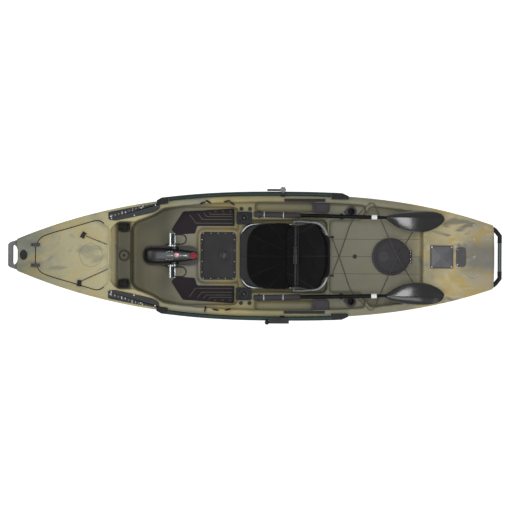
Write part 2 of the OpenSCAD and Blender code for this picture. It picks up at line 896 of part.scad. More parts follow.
module paddle_shaft(s) {
    color("black") on_paddle(s) rotate([0, 90, 0]) {
        cylinder(h = grip_l, r = grip_d / 2);
        translate([0, 0, grip_l - 1]) cylinder(h = shaft_end - grip_l + 1, r = shaft_d / 2);
    }
}

module paddle_sleeve(s) {
    color("white") on_paddle(s) rotate([0, 90, 0]) translate([0, 0, shaft_end + 0.2]) {
        cylinder(h = 39, r = shaft_d / 2 + 3);
        translate([0, 0, 39]) cylinder(h = 57, r1 = shaft_d / 2 - 1, r2 = 10);
    }
}

// The two halves are feathered, so the port blade shows more of its outer side
blade_edge = [[974, -10], [1010, -34], [1070, -80], [1150, -110], [1240, -112], [1330, -84],
    [1390, -44], [blade_end, -4], [1400, 30], [1350, 50], [1240, 56], [1120, 50],
    [1040, 34], [974, 10]];
blade_in = [0.84, 0.94];
blade_out = [1.3, 1.04];

module paddle_blade(s) {
    i = s > 0 ? 1 : 0;
    color("black") on_paddle(s) translate([0, 0, -4]) linear_extrude(9)
        polygon([for (p = blade_edge) [p[0], p[1] * (p[1] < 0 ? blade_in[i] : blade_out[i])]]);
}

clip_x = [26, 640];
clip_r = [grip_d / 2, shaft_d / 2];
module paddle_clips() {
    color("black") both() for (i = [0, 1]) {
        along = clip_x[i] - paddle_x;
        x = clip_x[i];
        y = paddle_y - along * tan(paddle_yaw);
        z = paddle_z + along * tan(paddle_rise);
        r = clip_r[i] + 1.8;
        translate([x, y, 0]) difference() {
            translate([-9, -r - 5, shelf_h + 0.4]) cube([18, 2 * r + 10, z - shelf_h + 4]);
            translate([0, 0, z]) rod_x(30, r);
            translate([-15, -r, z]) cube([30, 2 * r, 60]);
        }
    }
}

// ---- Cargo well ----
rear_t = 8;
rear_lid_t = 10;
rear_top = cargo_h + rear_t + rear_lid_t + 1;
rear_knob_x = rear_x - 52;

module rear_hatch_ring() {
    color("dimgray") translate([rear_x, 0, cargo_h + 0.4]) difference() {
        union() {
            cylinder(h = rear_t, r = rear_r);
            translate([rear_r - 4, -48, 0]) cube([24, 96, rear_t]);
        }
        translate([0, 0, -1]) cylinder(h = 20, r = rear_r - 26);
    }
}

module rear_hatch_lid() {
    color("dimgray") {
        translate([rear_x, 0, rear_top - rear_lid_t]) difference() {
            cylinder(h = rear_lid_t, r = rear_r - 7);
            translate([rear_knob_x - rear_x, 0, -1]) cylinder(h = 30, r = 9 + bore_play);
        }
        at_rear_hinges() hinge_fork(54);
    }
}

module at_rear_hinges() {
    both() translate([rear_x + rear_r + 10, 28, rear_top]) mirror([1, 0, 0]) children();
}

module rear_hatch_knob() {
    color("dimgray") translate([rear_knob_x, 0, rear_top]) {
        translate([0, 0, -rear_lid_t - 2]) cylinder(h = rear_lid_t + 4, r = 9);
        translate([0, 0, fit]) cylinder(h = 8, r = 37);
        translate([-28, -5, 8]) cube([56, 10, 8]);
    }
}

module drain_plug_disc() {
    translate([745, 0, cargo_h + 0.3]) {
        cylinder(h = 4, r = 16);
        translate([-2, -9, 3]) cube([4, 18, 4]);
    }
}

eye_places = [[572, 145, cargo_h], [1190, 205, cargo_h]];
module pad_eyes() {
    color("black") both() for (p = eye_places) translate([p[0], p[1], p[2] + 0.4]) {
        slab(34, 16, 4, 7);
        translate([0, 0, 3]) rotate([90, 0, 0]) linear_extrude(6, center = true) difference() {
            circle(9);
            circle(5);
            translate([-10, -10]) square([20, 10]);
        }
    }
}

// Two elastic cords cross over the cargo well from side to side
eye_edge_z = sheer_h + edge_r + 14;
function cargo_cord(lift) = [[572, -145, cargo_h + 16.5], [640, 40, cargo_h + 20 + lift],
    [700, 220, cargo_h + 32], [722, 268, cargo_h + 52], [806, 360, eye_edge_z - 10],
    [822, 374, eye_edge_z], [845, 396, eye_edge_z], [868, 396, eye_edge_z],
    [886, 372, eye_edge_z], [905, 338, cargo_h + 98],
    [930, 280, cargo_h + 64], [1000, 130, cargo_h + 44], [1062, 0, cargo_h + 38 + lift],
    [1130, -110, cargo_h + 28], [1190, -205, cargo_h + 16.5]];

module cargo_bungees() {
    color("black") {
        tube(cargo_cord(9), cord_r, 8);
        mirror([0, 1, 0]) tube(cargo_cord(0), cord_r, 8);
    }
}

// ---- Aft deck ----
module aft_panels() {
    color("dimgray") deck_panel(0.4, 7) {
        translate([1291, -85]) square([170, 170]);
        translate([1519, 0]) rounded(73, 146, 24);
    }
}

panel_screws = [[1303, 73, 6], [1449, 73, 6], [1492, 56, 5]];
module aft_panel_screws() {
    color("silver") both() for (p = panel_screws)
        translate([p[0], p[1], on_deck_z(p[0], p[1]) + 7.6]) cylinder(h = 3, r = p[2]);
}

bolt_x = 1617;
bolt_ys = [-235, -133, 0, 133, 235];
insert_r = 9;
module deck_inserts() {
    color("darkslategray") for (y = bolt_ys)
        translate([bolt_x, y, on_deck_z(bolt_x, y) - 26]) difference() {
            cylinder(h = 27, r = insert_r);
            translate([0, 0, 6]) cylinder(h = 30, r = 3.2);
        }
}

// ---- Stern handle ----
handle_z = 330;
handle_r = 17;
stern_bar_x = stern_x + 46;
module stern_handle() {
    route = [[stern_x - 6, 214, handle_z], [stern_x + 16, 196, handle_z],
        [stern_bar_x, 158, handle_z], [stern_bar_x, 104.5, handle_z]];
    color("black") both() difference() {
        tube(route, handle_r, 10);
        translate([stern_x - above + part_gap, 0, 0]) cube(above);
    }
}

module stern_grip() {
    color("slategray") translate([stern_bar_x, 0, handle_z]) rod_y(208, handle_r - 2);
}

// ---- Rudder, under the stern ----
rudder_x = 1590;
rudder_low = -235;
rudder_bush_r = 20;
rudder_top = 44;
module rudder_head() {
    color("black") translate([rudder_x, 0, 0]) difference() {
        union() {
            translate([0, 0, rudder_top - 30]) cylinder(h = 52, r = 24);
            translate([0, 0, rudder_top]) cylinder(h = 80, r = 9);
            translate([-26, -20, rudder_top - 66]) cube([52, 40, 40]);
        }
        translate([-40, -6.5, rudder_top - 80]) cube([80, 13, 60]);
        translate([0, 0, rudder_top - 48]) rod_y(60, 5 + bore_play);
    }
}

module rudder_pin() {
    color("silver") translate([rudder_x, 0, rudder_top - 48]) rod_y(44, 5);
}

module rudder_blade() {
    color("black") translate([rudder_x, 0, rudder_top - 48]) rotate([90, 0, 0])
        linear_extrude(12, center = true) difference() {
            union() {
                circle(17);
                polygon([[-17, 0], [-22, -60], [-60, -150], [-56, rudder_low], [0, rudder_low - 26],
                    [44, rudder_low + 10], [50, -120], [17, 0]]);
            }
            circle(5 + bore_play);
        }
}

module rudder_bearing() {
    color("dimgray") translate([rudder_x, 0, rudder_top + 26]) difference() {
        cylinder(h = 80, r = rudder_bush_r);
        translate([0, 0, -1]) cylinder(h = 60, r = 9 + bore_play);
    }
}

// ---- Nodes made of several like pieces ----
module pins_and_fasteners() { hatch_hinge_pins(); aft_panel_screws(); deck_inserts(); }
module rudder_stock() { rudder_head(); rudder_pin(); }
module pedal(s) { pedal_plate(s); pedal_strap(s); }
module fin(s) { fin_mast(s); fin_blade(s); }
module paddle(s) { paddle_shaft(s); paddle_sleeve(s); paddle_blade(s); }
module gear_boards() { gear_board(1); gear_board(-1); }
module side_rails() { rail(1); rail(-1); }
module foot_pads() { foot_pad(1); foot_pad(-1); }
module steering_bases() { steering_base(1); steering_base(-1); }
module rail_clamps() { rail_clamp_starboard(); rail_clamp_port(); }
module seat_crossbar() { seat_rear_bar(); seat_back_pin(); }

module plugs() {
    color("black") {
        bow_plug_disc();
        side_plug_discs();
        drain_plug_disc();
    }
}

module hatch_hinge_blocks() {
    color("dimgray") {
        at_bow_hinges() hinge_block(lid_top - 3);
        at_centre_hinges() hinge_block(panel_t);
        at_rear_hinges() hinge_block(rear_lid_t);
    }
}

module hatch_hinge_pins() {
    color("silver") {
        at_bow_hinges() hinge_pin();
        at_centre_hinges() hinge_pin();
        at_rear_hinges() hinge_pin();
    }
}

hull_shell();
deck_shell();
bow_handle();
plugs();
bow_hatch_lid();
bow_hatch_seal();
bow_hatch_straps();
bow_hatch_latches();
bow_hatch_cords();
hatch_hinge_blocks();
ledge_pockets();
mast_socket();
gear_boards();
side_rails();
rail_ends();
rail_clamps();
clamp_knob();
foot_pads();
centre_hatch_frame();
centre_hatch_lid();
centre_hatch_latch();
centre_hatch_bin();
drive_spine();
pedal_shaft();
drive_knob();
drive_turntable();
fin_shaft();
steering_bases();
seat_frame();
seat_crossbar();
seat_base();
seat_back_frame();
seat_back();
seat_buckle();
mesh_pouches();
gunwale_strips();
rod_holders();
paddle_clips();
rear_hatch_ring();
rear_hatch_lid();
rear_hatch_knob();
pad_eyes();
cargo_bungees();
aft_panels();
pins_and_fasteners();
stern_handle();
stern_grip();
rudder_stock();
rudder_blade();
rudder_bearing();
pedal_arm(1);  // pedal_arm_starboard
pedal_arm(-1);  // pedal_arm_port
pedal(1);  // pedal_starboard
pedal(-1);  // pedal_port
fin(-1);  // fin_fore
fin(1);  // fin_aft
steering_knob(1);  // steering_knob_starboard
steering_knob(-1);  // steering_knob_port
paddle(1);  // paddle_starboard
paddle(-1);  // paddle_port
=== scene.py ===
import json
import math
import random

import bmesh
import bpy
from mathutils import Matrix, Vector


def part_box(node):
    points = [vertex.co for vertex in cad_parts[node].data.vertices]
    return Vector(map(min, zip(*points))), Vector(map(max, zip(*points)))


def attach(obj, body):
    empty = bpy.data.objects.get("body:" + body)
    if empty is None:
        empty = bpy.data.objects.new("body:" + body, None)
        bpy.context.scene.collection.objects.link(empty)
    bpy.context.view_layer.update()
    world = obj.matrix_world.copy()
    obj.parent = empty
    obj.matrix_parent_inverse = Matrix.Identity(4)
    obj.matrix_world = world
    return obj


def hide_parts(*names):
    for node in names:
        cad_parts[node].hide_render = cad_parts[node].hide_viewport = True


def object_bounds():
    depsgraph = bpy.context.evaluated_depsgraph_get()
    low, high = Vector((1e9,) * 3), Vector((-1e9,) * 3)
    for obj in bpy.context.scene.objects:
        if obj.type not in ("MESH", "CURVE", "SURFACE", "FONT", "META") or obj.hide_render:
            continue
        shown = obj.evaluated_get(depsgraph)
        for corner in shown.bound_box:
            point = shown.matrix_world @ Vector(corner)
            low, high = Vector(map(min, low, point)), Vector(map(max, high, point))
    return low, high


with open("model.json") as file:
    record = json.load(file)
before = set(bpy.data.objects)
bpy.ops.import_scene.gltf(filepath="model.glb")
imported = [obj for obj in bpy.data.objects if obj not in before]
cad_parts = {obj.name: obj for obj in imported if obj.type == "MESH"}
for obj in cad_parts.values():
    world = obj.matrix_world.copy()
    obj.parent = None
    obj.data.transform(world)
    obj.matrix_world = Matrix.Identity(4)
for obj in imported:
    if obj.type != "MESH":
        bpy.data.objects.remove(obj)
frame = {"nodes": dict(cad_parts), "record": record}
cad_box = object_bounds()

random.seed(12)
bpy.ops.object.select_all(action="DESELECT")

# Studio: a pale floor below the fins, a bright even sky and three soft panels. The camera hangs
# straight above the deck on a long lens, and the boat lies a third of a degree off level.
FRAME_WIDTH = 3.80
DECK_LEVEL = 0.36
LENS = 85.0
SENSOR = 36.0
hull_low, hull_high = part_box("hull_shell")
bpy.ops.mesh.primitive_plane_add(size=60, location=(0, 0, cad_box[0][2] - 0.05))
floor = bpy.context.object
floor.name = "studio_floor"
floor_paint = bpy.data.materials.new("studio_paper")
floor_paint.use_nodes = True
paper = floor_paint.node_tree.nodes["Principled BSDF"]
paper.inputs["Base Color"].default_value = (0.97, 0.97, 0.97, 1)
paper.inputs["Roughness"].default_value = 0.9
paper.inputs["Emission Color"].default_value = (1, 1, 1, 1)
paper.inputs["Emission Strength"].default_value = 0.62
floor.data.materials.append(floor_paint)

sky = bpy.data.worlds.new("studio_sky")
bpy.context.scene.world = sky
sky.use_nodes = True
sky.node_tree.nodes["Background"].inputs["Color"].default_value = (1, 1, 1, 1)
sky.node_tree.nodes["Background"].inputs["Strength"].default_value = 0.40

for name, place, wide, deep, power in (
    ("overhead_soft_box", (0.5, 0, 4.6), 3.2, 1.3, 78),
    ("soft_panel_bow", (-3.0, 1.0, 3.4), 2.2, 2.2, 42),
    ("soft_panel_side", (0.4, -3.4, 3.0), 3.0, 2.0, 34),
):
    bpy.ops.object.light_add(type="AREA", location=place)
    panel = bpy.context.object
    panel.name = name
    panel.data.shape = "RECTANGLE"
    panel.data.energy = power
    panel.data.size = wide
    panel.data.size_y = deep
    panel.rotation_euler = (Vector((place[0] * 0.3, 0, 0.3)) - Vector(place)).to_track_quat("-Z",
            "Y").to_euler()

bpy.ops.object.camera_add(
    location=(0.0018, 0, DECK_LEVEL + FRAME_WIDTH * LENS / SENSOR), rotation=(0, 0, math.radians(0.31))
)
camera = bpy.context.object
camera.data.lens = LENS
camera.data.sensor_width = SENSOR
camera.data.clip_end = 100
bpy.context.scene.camera = camera
bpy.context.scene.view_settings.view_transform = "Standard"

# Hull: one rotomoulded polyethylene skin with every well, ledge and hatch mouth moulded in, its
# corners rounded by the mould. The pigments are swirled together: khaki, olive and dark grey;
# the shade in its wells, on its bow ledge and in the cargo floor's grooves is painted into the colour.
BOW, STERN = hull_low[0], hull_high[0]
HALF_BEAM = 0.460
BOW_HALF = 0.118
STERN_HALF = 0.237
WIDEST = 0.200
EDGE = 0.018
CROWN = 0.026
FLOOR = 0.150
SEAT_DECK = 0.200
SHELF = 0.272
TRAY = 0.240
CARGO = 0.236
LEDGE = 0.314
GUNWALE = 0.058


def along(x):
    """Share of the way from the widest station to the end of the hull that x lies towards."""
    return (WIDEST - x) / (WIDEST - BOW) if x < WIDEST else (x - WIDEST) / (STERN - WIDEST)


def beam(x):
    end = BOW_HALF if x < WIDEST else STERN_HALF
    return HALF_BEAM - (HALF_BEAM - end) * along(x) ** 2.45


def sheer(x):
    return 0.330 + (0.070 * along(x) ** 2.2 if x < WIDEST else 0.012 * along(x) ** 2)


def keel(x):
    length = STERN - BOW
    if x < -0.24 * length:
        return 0.170 * ((-0.24 * length - x) / (0.26 * length)) ** 2.1
    if x > 0.27 * length:
        return 0.120 * ((x - 0.27 * length) / (0.23 * length)) ** 1.7
    return 0.0


def deck(x, y):
    share = min(1.0, abs(y) / (beam(x) - EDGE))
    return sheer(x) + EDGE + CROWN * (1 - share * share)


def hull_ring(x):
    b, k, s = beam(x), keel(x), sheer(x)
    full = 3.1 - (1.15 * along(x) ** 1.6 if x < WIDEST else 0.5 * along(x) ** 2)
    flat = min(0.100, 0.42 * b)
    half = []
    for i in range(19):
        t = math.radians(90 * i / 18)
        y = flat + (b - flat) * math.sin(t) ** (2 / full)
        half.append((y, s - (s - k) * math.cos(t) ** (2 / full)))
    half += [(b - EDGE * (1 - math.cos(t)), s + EDGE * math.sin(t)) for t in (0.4, 0.8, 1.2)]
    half += [((b - EDGE) * q, deck(x, (b - EDGE) * q)) for q in (1, 0.85, 0.7, 0.5, 0.25)]
    ring = [(x, 0, k)] + [(x, y, z) for y, z in half] + [(x, 0, deck(x, 0))]
    return ring + [(x, -y, z) for y, z in reversed(half)]


def add_mesh(name, points, faces):
    mesh = bpy.data.meshes.new(name)
    mesh.from_pydata([tuple(p) for p in points], [], faces)
    piece = bpy.data.objects.new(name, mesh)
    bpy.context.collection.objects.link(piece)
    return piece


def skin(name, rings, closed=False):
    """Closed shell over rings of equal length, or round a loop of rings."""
    n, m = len(rings[0]), len(rings)
    faces = [
        (i * n + j, (i + 1) % m * n + j, (i + 1) % m * n + (j + 1) % n, i * n + (j + 1) % n)
        for i in range(m if closed else m - 1)
        for j in range(n)
    ]
    if not closed:
        faces += [tuple(range(n)), tuple(reversed(range((m - 1) * n, m * n)))]
    return add_mesh(name, [p for r in rings for p in r], faces)


def tidy(piece):
    """Merges doubles and turns every face outwards."""
    work = bmesh.new()
    work.from_mesh(piece.data)
    bmesh.ops.remove_doubles(work, verts=work.verts, dist=1e-5)
    bmesh.ops.recalc_face_normals(work, faces=work.faces)
    work.to_mesh(piece.data)
    work.free()
    return piece


def rounded(points, radius, steps=5):
    """The outline with each corner turned into an arc."""
    out = []
    n = len(points)
    for i in range(n):
        p, a, b = Vector(points[i]), Vector(points[i - 1]), Vector(points[(i + 1) % n])
        u, v = (a - p), (b - p)
        cut = min(radius, 0.45 * u.length, 0.45 * v.length)
        start, end = p + u.normalized() * cut, p + v.normalized() * cut
        for k in range(steps + 1):
            t = k / steps
            out.append(tuple((1 - t) ** 2 * start + 2 * t * (1 - t) * p + t * t * end))
    return out


def mirrored(edge):
    """Closed outline from its starboard edge, listed from bow to stern."""
    return list(edge) + [(x, -y) for x, y in reversed(edge)]


def prism(name, outline, low, high):
    """Closed solid over an outline, between two heights; either may be a function of x and y."""
    level = lambda z, p: z(*p) if callable(z) else z
    bottom = [(p[0], p[1], level(low, p)) for p in outline]
    top = [(p[0], p[1], level(high, p)) for p in outline]
    return tidy(skin(name, [bottom, top]))


def use(piece, kind, **settings):
    """Adds a modifier and applies it."""
    bpy.ops.object.select_all(action="DESELECT")
    bpy.context.view_layer.objects.active = piece
    piece.select_set(True)
    modifier = piece.modifiers.new(kind.lower(), kind)
    for key, value in settings.items():
        setattr(modifier, key, value)
    bpy.ops.object.modifier_apply(modifier=modifier.name)
    return piece


def join(pieces, name):
    bpy.ops.object.select_all(action="DESELECT")
    for piece in pieces:
        piece.select_set(True)
    bpy.context.view_layer.objects.active = pieces[0]
    bpy.ops.object.join()
    pieces[0].name = name
    return pieces[0]


def cut(piece, cutters):
    for cutter in cutters:
        use(piece, "BOOLEAN", operation="DIFFERENCE", solver="EXACT", object=cutter)
        bpy.data.objects.remove(cutter)
    return piece


def smooth(piece, angle=40):
    bpy.ops.object.select_all(action="DESELECT")
    bpy.context.view_layer.objects.active = piece
    piece.select_set(True)
    bpy.ops.object.shade_smooth_by_angle(angle=math.radians(angle))
    return piece


def inner_edge(x0, x1, count):
    return [(x0 + (x1 - x0) * i / count,
             beam(x0 + (x1 - x0) * i / count) - GUNWALE) for i in range(count + 1)]


def disc(x, y, radius, count=40):
    return [(x + radius * math.cos(2 * math.pi * i / count), y + radius * math.sin(2 * math.pi * i / count))
            for i in range(count)]


def oblong(x, y, length, width, corner):
    a, b = length / 2, width / 2
    return rounded([(x - a, y - b), (x + a, y - b), (x + a, y + b), (x - a, y + b)], corner * 1.4, 7)


HIGH = 0.9
LID_EDGE = [(-1.617, 0.066), (-1.590, 0.118), (-1.560, 0.138), (-1.490, 0.163), (-1.371, 0.197),
            (-1.195, 0.250), (-1.170, 0.254), (-1.141, 0.245), (-1.066, 0.183)]
stations = [BOW + (STERN - BOW) * i / 72 for i in range(73)]
hull = tidy(skin("hull", [hull_ring(x) for x in stations]))
footwell = prism("cut", rounded(mirrored([(-0.930, 0.240), (-0.770, 0.300), (-0.700, 0.346),
                 (-0.560, 0.368), (-0.130, 0.368)]), 0.05), FLOOR, HIGH)
cut(footwell, [prism("platform", oblong(-0.284, 0, 0.316, 0.410, 0.045), 0, 0.180)])
cutters = [
    footwell,
    prism("cut", rounded(mirrored([(-1.030, 0.250), (-0.900, 0.250)]), 0.02), LEDGE, HIGH),
    prism("cut", rounded(mirrored([(-0.131, 0.272), (0.533, 0.272)]), 0.04), SEAT_DECK, HIGH),
    prism("cut", mirrored([(-0.700, 0.352)] + inner_edge(-0.560, 0.815, 14)), SHELF, HIGH),
    prism("cut", oblong(0.218, 0.367, 0.448, 0.070, 0.02), TRAY, HIGH),
    prism("cut", oblong(0.218, -0.367, 0.448, 0.070, 0.02), TRAY, HIGH),
    prism("cut", rounded(mirrored([(0.551, 0.272), (0.780, 0.272)] + inner_edge(0.850, 1.240, 6)), 0.03),
          CARGO, HIGH),
    prism("cut", mirrored([(-1.078, 0.185), (-1.028, 0.25)]), lambda x, y: LEDGE + 1.3 * (-1.03 - x), HIGH),
    prism("cut", oblong(-1.765, 0, 0.018, 0.120, 0.008), -0.1, HIGH),
    prism("cut", disc(-0.640, 0, 0.085), -0.1, HIGH),
    prism("cut", rounded(mirrored([(x + 0.046 * (1 if x < -1.3 else -1), y - 0.046)
          for x, y in LID_EDGE if y > 0.1]), 0.02), lambda x, y: 0.20 - 0.05 * (x + 1.1), HIGH),
    prism("cut", oblong(-0.284, 0, 0.228, 0.322, 0.03), 0.04, HIGH),
    prism("cut", disc(1.013, 0, 0.117), 0.04, HIGH),
    prism("cut", disc(0.714, 0.337, 0.031), 0.10, HIGH),
    prism("cut", disc(0.714, -0.337, 0.031), 0.10, HIGH),
    prism("cut", disc(1.590, 0, 0.021), -0.1, 0.16),
    prism("cut", oblong(-0.983, 0.210, 0.076, 0.060, 0.004), 0.254, HIGH),
    prism("cut", oblong(-0.983, -0.210, 0.076, 0.060, 0.004), 0.254, HIGH),
]
cut(hull, cutters)
VOXEL = 0.0108
use(hull, "REMESH", mode="VOXEL", voxel_size=VOXEL, use_smooth_shade=True)
use(hull, "SMOOTH", factor=0.5, iterations=5)
smooth(hull, 60)
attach(hull, "hull")
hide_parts("hull_shell", "deck_shell")


def material(name):
    paint = bpy.data.materials.new(name)
    paint.use_nodes = True
    return paint, paint.node_tree, paint.node_tree.nodes["Principled BSDF"]


def noise(net, scale, detail=3.0, roughness=0.55, stretch=(1, 1, 1), distortion=0.0, offset=(0, 0, 0)):
    """Noise on the object's own coordinates."""
    place = net.nodes.new("ShaderNodeTexCoord")
    mapping = net.nodes.new("ShaderNodeMapping")
    mapping.inputs["Scale"].default_value = stretch
    mapping.inputs["Location"].default_value = offset
    net.links.new(place.outputs["Object"], mapping.inputs["Vector"])
    field = net.nodes.new("ShaderNodeTexNoise")
    field.inputs["Scale"].default_value = scale
    field.inputs["Detail"].default_value = detail
    field.inputs["Roughness"].default_value = roughness
    field.inputs["Distortion"].default_value = distortion
    net.links.new(mapping.outputs["Vector"], field.inputs["Vector"])
    return field


def ramp(net, source, stops):
    node = net.nodes.new("ShaderNodeValToRGB")
    band = node.color_ramp
    while len(band.elements) < len(stops):
        band.elements.new(0.5)
    for element, (where, colour) in zip(band.elements, stops):
        element.position = where
        element.color = (*colour, 1)
    net.links.new(source, node.inputs["Fac"])
    return node


def blend(net, amount, a, b, mode="MIX"):
    node = net.nodes.new("ShaderNodeMix")
    node.data_type = "RGBA"
    node.blend_type = mode
    for value, socket in ((amount, node.inputs[0]), (a, node.inputs[6]), (b, node.inputs[7])):
        if isinstance(value, (int, float)):
            socket.default_value = value
        elif isinstance(value, tuple):
            socket.default_value = (*value, 1)
        else:
            net.links.new(value, socket)
    return node.outputs[2]


def bump(net, shader, source, depth, previous=None):
    node = net.nodes.new("ShaderNodeBump")
    node.inputs["Strength"].default_value = 1.0
    node.inputs["Distance"].default_value = depth
    net.links.new(source, node.inputs["Height"])
    if previous:
        net.links.new(previous.outputs["Normal"], node.inputs["Normal"])
    net.links.new(node.outputs["Normal"], shader.inputs["Normal"])
    return node


def shown(r, g, b):
    """Linear colour from a swatch value of 0 to 255."""
    return tuple((c / 255 / 12.92) if c < 10 else ((c / 255 + 0.055) / 1.055) ** 2.4 for c in (r, g, b))


def maths(net, operation, a, b=0.0, c=0.0):
    node = net.nodes.new("ShaderNodeMath")
    node.operation = operation
    for socket, value in zip(node.inputs, (a, b, c)):
        if isinstance(value, (int, float)):
            socket.default_value = value
        else:
            net.links.new(value, socket)
    return node.outputs[0]


def times(net, a, b):
    return maths(net, "MULTIPLY", a, b)


def scaled(net, value, factor, offset):
    return maths(net, "MULTIPLY_ADD", value, factor, offset)


def minus(net, a, b):
    return maths(net, "SUBTRACT", a, b)


def rest_of(net, share):
    """What is left of 1."""
    return maths(net, "SUBTRACT", 1.0, share)


def size_of(net, value):
    return maths(net, "ABSOLUTE", value)


def larger(net, a, b):
    return maths(net, "MAXIMUM", a, b)


def below(net, value, limit):
    return maths(net, "LESS_THAN", value, limit)


def above(net, value, limit):
    return maths(net, "GREATER_THAN", value, limit)


def coordinates(net):
    place = net.nodes.new("ShaderNodeTexCoord")
    split = net.nodes.new("ShaderNodeSeparateXYZ")
    net.links.new(place.outputs["Object"], split.inputs["Vector"])
    return split.outputs["X"], split.outputs["Y"], split.outputs["Z"]


def step(net, value, start, end):
    """0 before start and 1 after end, with a soft change."""
    node = net.nodes.new("ShaderNodeMapRange")
    node.interpolation_type = "SMOOTHSTEP"
    node.inputs["From Min"].default_value = start
    node.inputs["From Max"].default_value = end
    net.links.new(value, node.inputs["Value"])
    return node.outputs["Result"]


CARGO_FORE, CARGO_AFT, GROOVE_Y = 0.575, 1.235, 0.130
LEDGE_AFT = (-0.935, -0.915)


def camo_plastic(name, brightness=1.0, emblem=None):
    """Swirled pigments: the bow khaki, the middle plain olive, the stern khaki, sand and slate, with
    painted shade on low surfaces and, on the hull, on the bow ledge, the footwell's front and the cargo
    floor's grooves.
    """
    paint, net, shader = material(name)
    x, y, z = coordinates(net)
    drift = noise(net, 1.9, 3.0, 0.55, (1, 1.3, 1), 1.2)
    shift = scaled(net, drift.outputs["Fac"], 0.55, -0.275)
    wander = maths(net, "ADD", x, shift)
    share = scaled(net, wander, 1 / 3.6, 0.5)
    base = ramp(net, share, [
        (0.03, shown(118, 121, 104)), (0.12, shown(162, 156, 124)), (0.26, shown(176, 168, 128)),
        (0.31, shown(140, 138, 108)), (0.37, shown(140, 138, 120)), (0.425, shown(164, 150, 104)),
        (0.50, shown(140, 134, 96)), (0.60, shown(132, 127, 98)), (0.66, shown(124, 122, 102)),
        (0.82, shown(130, 127, 104)), (0.90, shown(186, 173, 132)), (0.97, shown(164, 155, 128)),
    ])
    busy = larger(net, step(net, x, 1.02, 1.30),
                 rest_of(net, step(net, x, -1.30, -0.45)))
    patches = noise(net, 3.4, 3.0, 0.5, (0.75, 1.2, 1), 2.2, (3.1, 0.4, 0))
    wisps = noise(net, 3.0, 4.0, 0.55, (0.8, 1.9, 1), 3.2, (7.7, 1.9, 0))
    sand = ramp(net, patches.outputs["Fac"], [(0.50, (0, 0, 0)), (0.60, (1, 1, 1))])
    slate = ramp(net, patches.outputs["Fac"], [(0.34, (1, 1, 1)), (0.44, (0, 0, 0))])
    rose = ramp(net, wisps.outputs["Fac"], [(0.56, (0, 0, 0)), (0.66, (1, 1, 1))])
    aft = step(net, x, 1.15, 1.35)
    gold_share = times(net, sand.outputs["Color"],
                       scaled(net, aft, 0.45, 0.35))
    colour = blend(net, times(net, gold_share, busy), base.outputs["Color"],
                   shown(176, 154, 92))
    rose_share = times(net, rose.outputs["Color"],
                       scaled(net, aft, 0.6, 0.15))
    colour = blend(net, times(net, rose_share, busy), colour, shown(186, 174, 150))
    slate_share = times(net, slate.outputs["Color"],
                        scaled(net, aft, 0.25, 0.5))
    colour = blend(net, times(net, slate_share, busy), colour,
                   shown(104, 106, 98))
    centre = rest_of(net, step(net, size_of(net, y), 0.05, 0.17))
    transom = times(net, step(net, wander, 1.42, 1.60), centre)
    colour = blend(net, times(net, transom, 0.8), colour, shown(108, 110, 106))
    # Painted shade: below the deck, the lower a surface lies the more it is darkened towards olive grey, by
    # up to a third, for the shade in the wells.
    low = rest_of(net, step(net, z, 0.20, 0.34))
    colour = blend(net, times(net, low, 0.32), colour, shown(92, 91, 78))
    if emblem is None:
        # Painted shade: the recessed ledge ahead of the footwell and the wall at its fore end are painted
        # near-black for the shade that fills that recess.
        inboard = rest_of(net, step(net, size_of(net, y), 0.235, 0.275))
        ahead = times(net, step(net, x, -1.060, -1.030), inboard)
        ahead = times(net, ahead, rest_of(net, step(net, z, 0.345, 0.385)))
        ledge_wall_shade = times(net, ahead,
                      rest_of(net, step(net, x, *LEDGE_AFT)))
        colour = blend(net, times(net, ledge_wall_shade, 0.88), colour, shown(44, 44, 38))
        # Painted shade: the front of the footwell, low down aft of the ledge, is darkened for the shade
        # under the well's fore wall.
        deep = rest_of(net, step(net, x, -0.72, -0.50))
        deep = times(net, deep, step(net, x, *LEDGE_AFT))
        deep = times(net, deep, rest_of(net, step(net, z, 0.22, 0.34)))
        colour = blend(net, times(net, deep, 0.62), colour, shown(52, 51, 42))
        # Painted shade: three dark lines along the cargo floor stand in for the shade in its grooves, which
        # are not cut into the shape.
        floor = times(net, below(net, z, CARGO + 0.008), above(net, x, CARGO_FORE))
        floor = times(net, floor, below(net, x, CARGO_AFT))
        across = size_of(net, y)
        groove = maths(net, "MINIMUM", across, size_of(net, minus(net, across, GROOVE_Y)))
        groove = rest_of(net, step(net, groove, 0.0012, 0.0042))
        groove = times(net, groove, floor)
        colour = blend(net, times(net, groove, 0.55), colour, shown(46, 46, 40))
    else:
        ex, ey, er = emblem
        dx = minus(net, x, ex)
        dy = minus(net, y, ey)
        reach = maths(net, "SQRT", scaled(net, dx, dx,
                      times(net, dy, dy)))
        streak = noise(net, 26, 2.0)
        torn = scaled(net, streak.outputs["Fac"], 0.012, -0.006)
        off = size_of(net, minus(net, maths(net, "ADD", reach, torn), er))
        line = rest_of(net, step(net, off, 0.001, 0.005))
        colour = blend(net, times(net, line, 0.42), colour, shown(92, 92, 74))
    speck = noise(net, 300, 2.0)
    level = [(0.40, (0.88 * brightness,) * 3), (0.62, (1.05 * brightness,) * 3)]
    specks = ramp(net, speck.outputs["Fac"], level)
    colour = blend(net, 1.0, colour, specks.outputs["Color"], "MULTIPLY")
    net.links.new(colour, shader.inputs["Base Color"])
    sheen = ramp(net, drift.outputs["Fac"], [(0.3, (0.42, 0.42, 0.42)), (0.7, (0.52, 0.52, 0.52))])
    net.links.new(sheen.outputs["Color"], shader.inputs["Roughness"])
    shader.inputs["Specular IOR Level"].default_value = 0.35
    peel = noise(net, 260, 2.0)
    waves = noise(net, 9, 1.0)
    first = bump(net, shader, peel.outputs["Fac"], 0.0004)
    bump(net, shader, waves.outputs["Fac"], 0.004, first)
    return paint


hull_paint = camo_plastic("camo_polyethylene")
hull.data.materials.append(hull_paint)

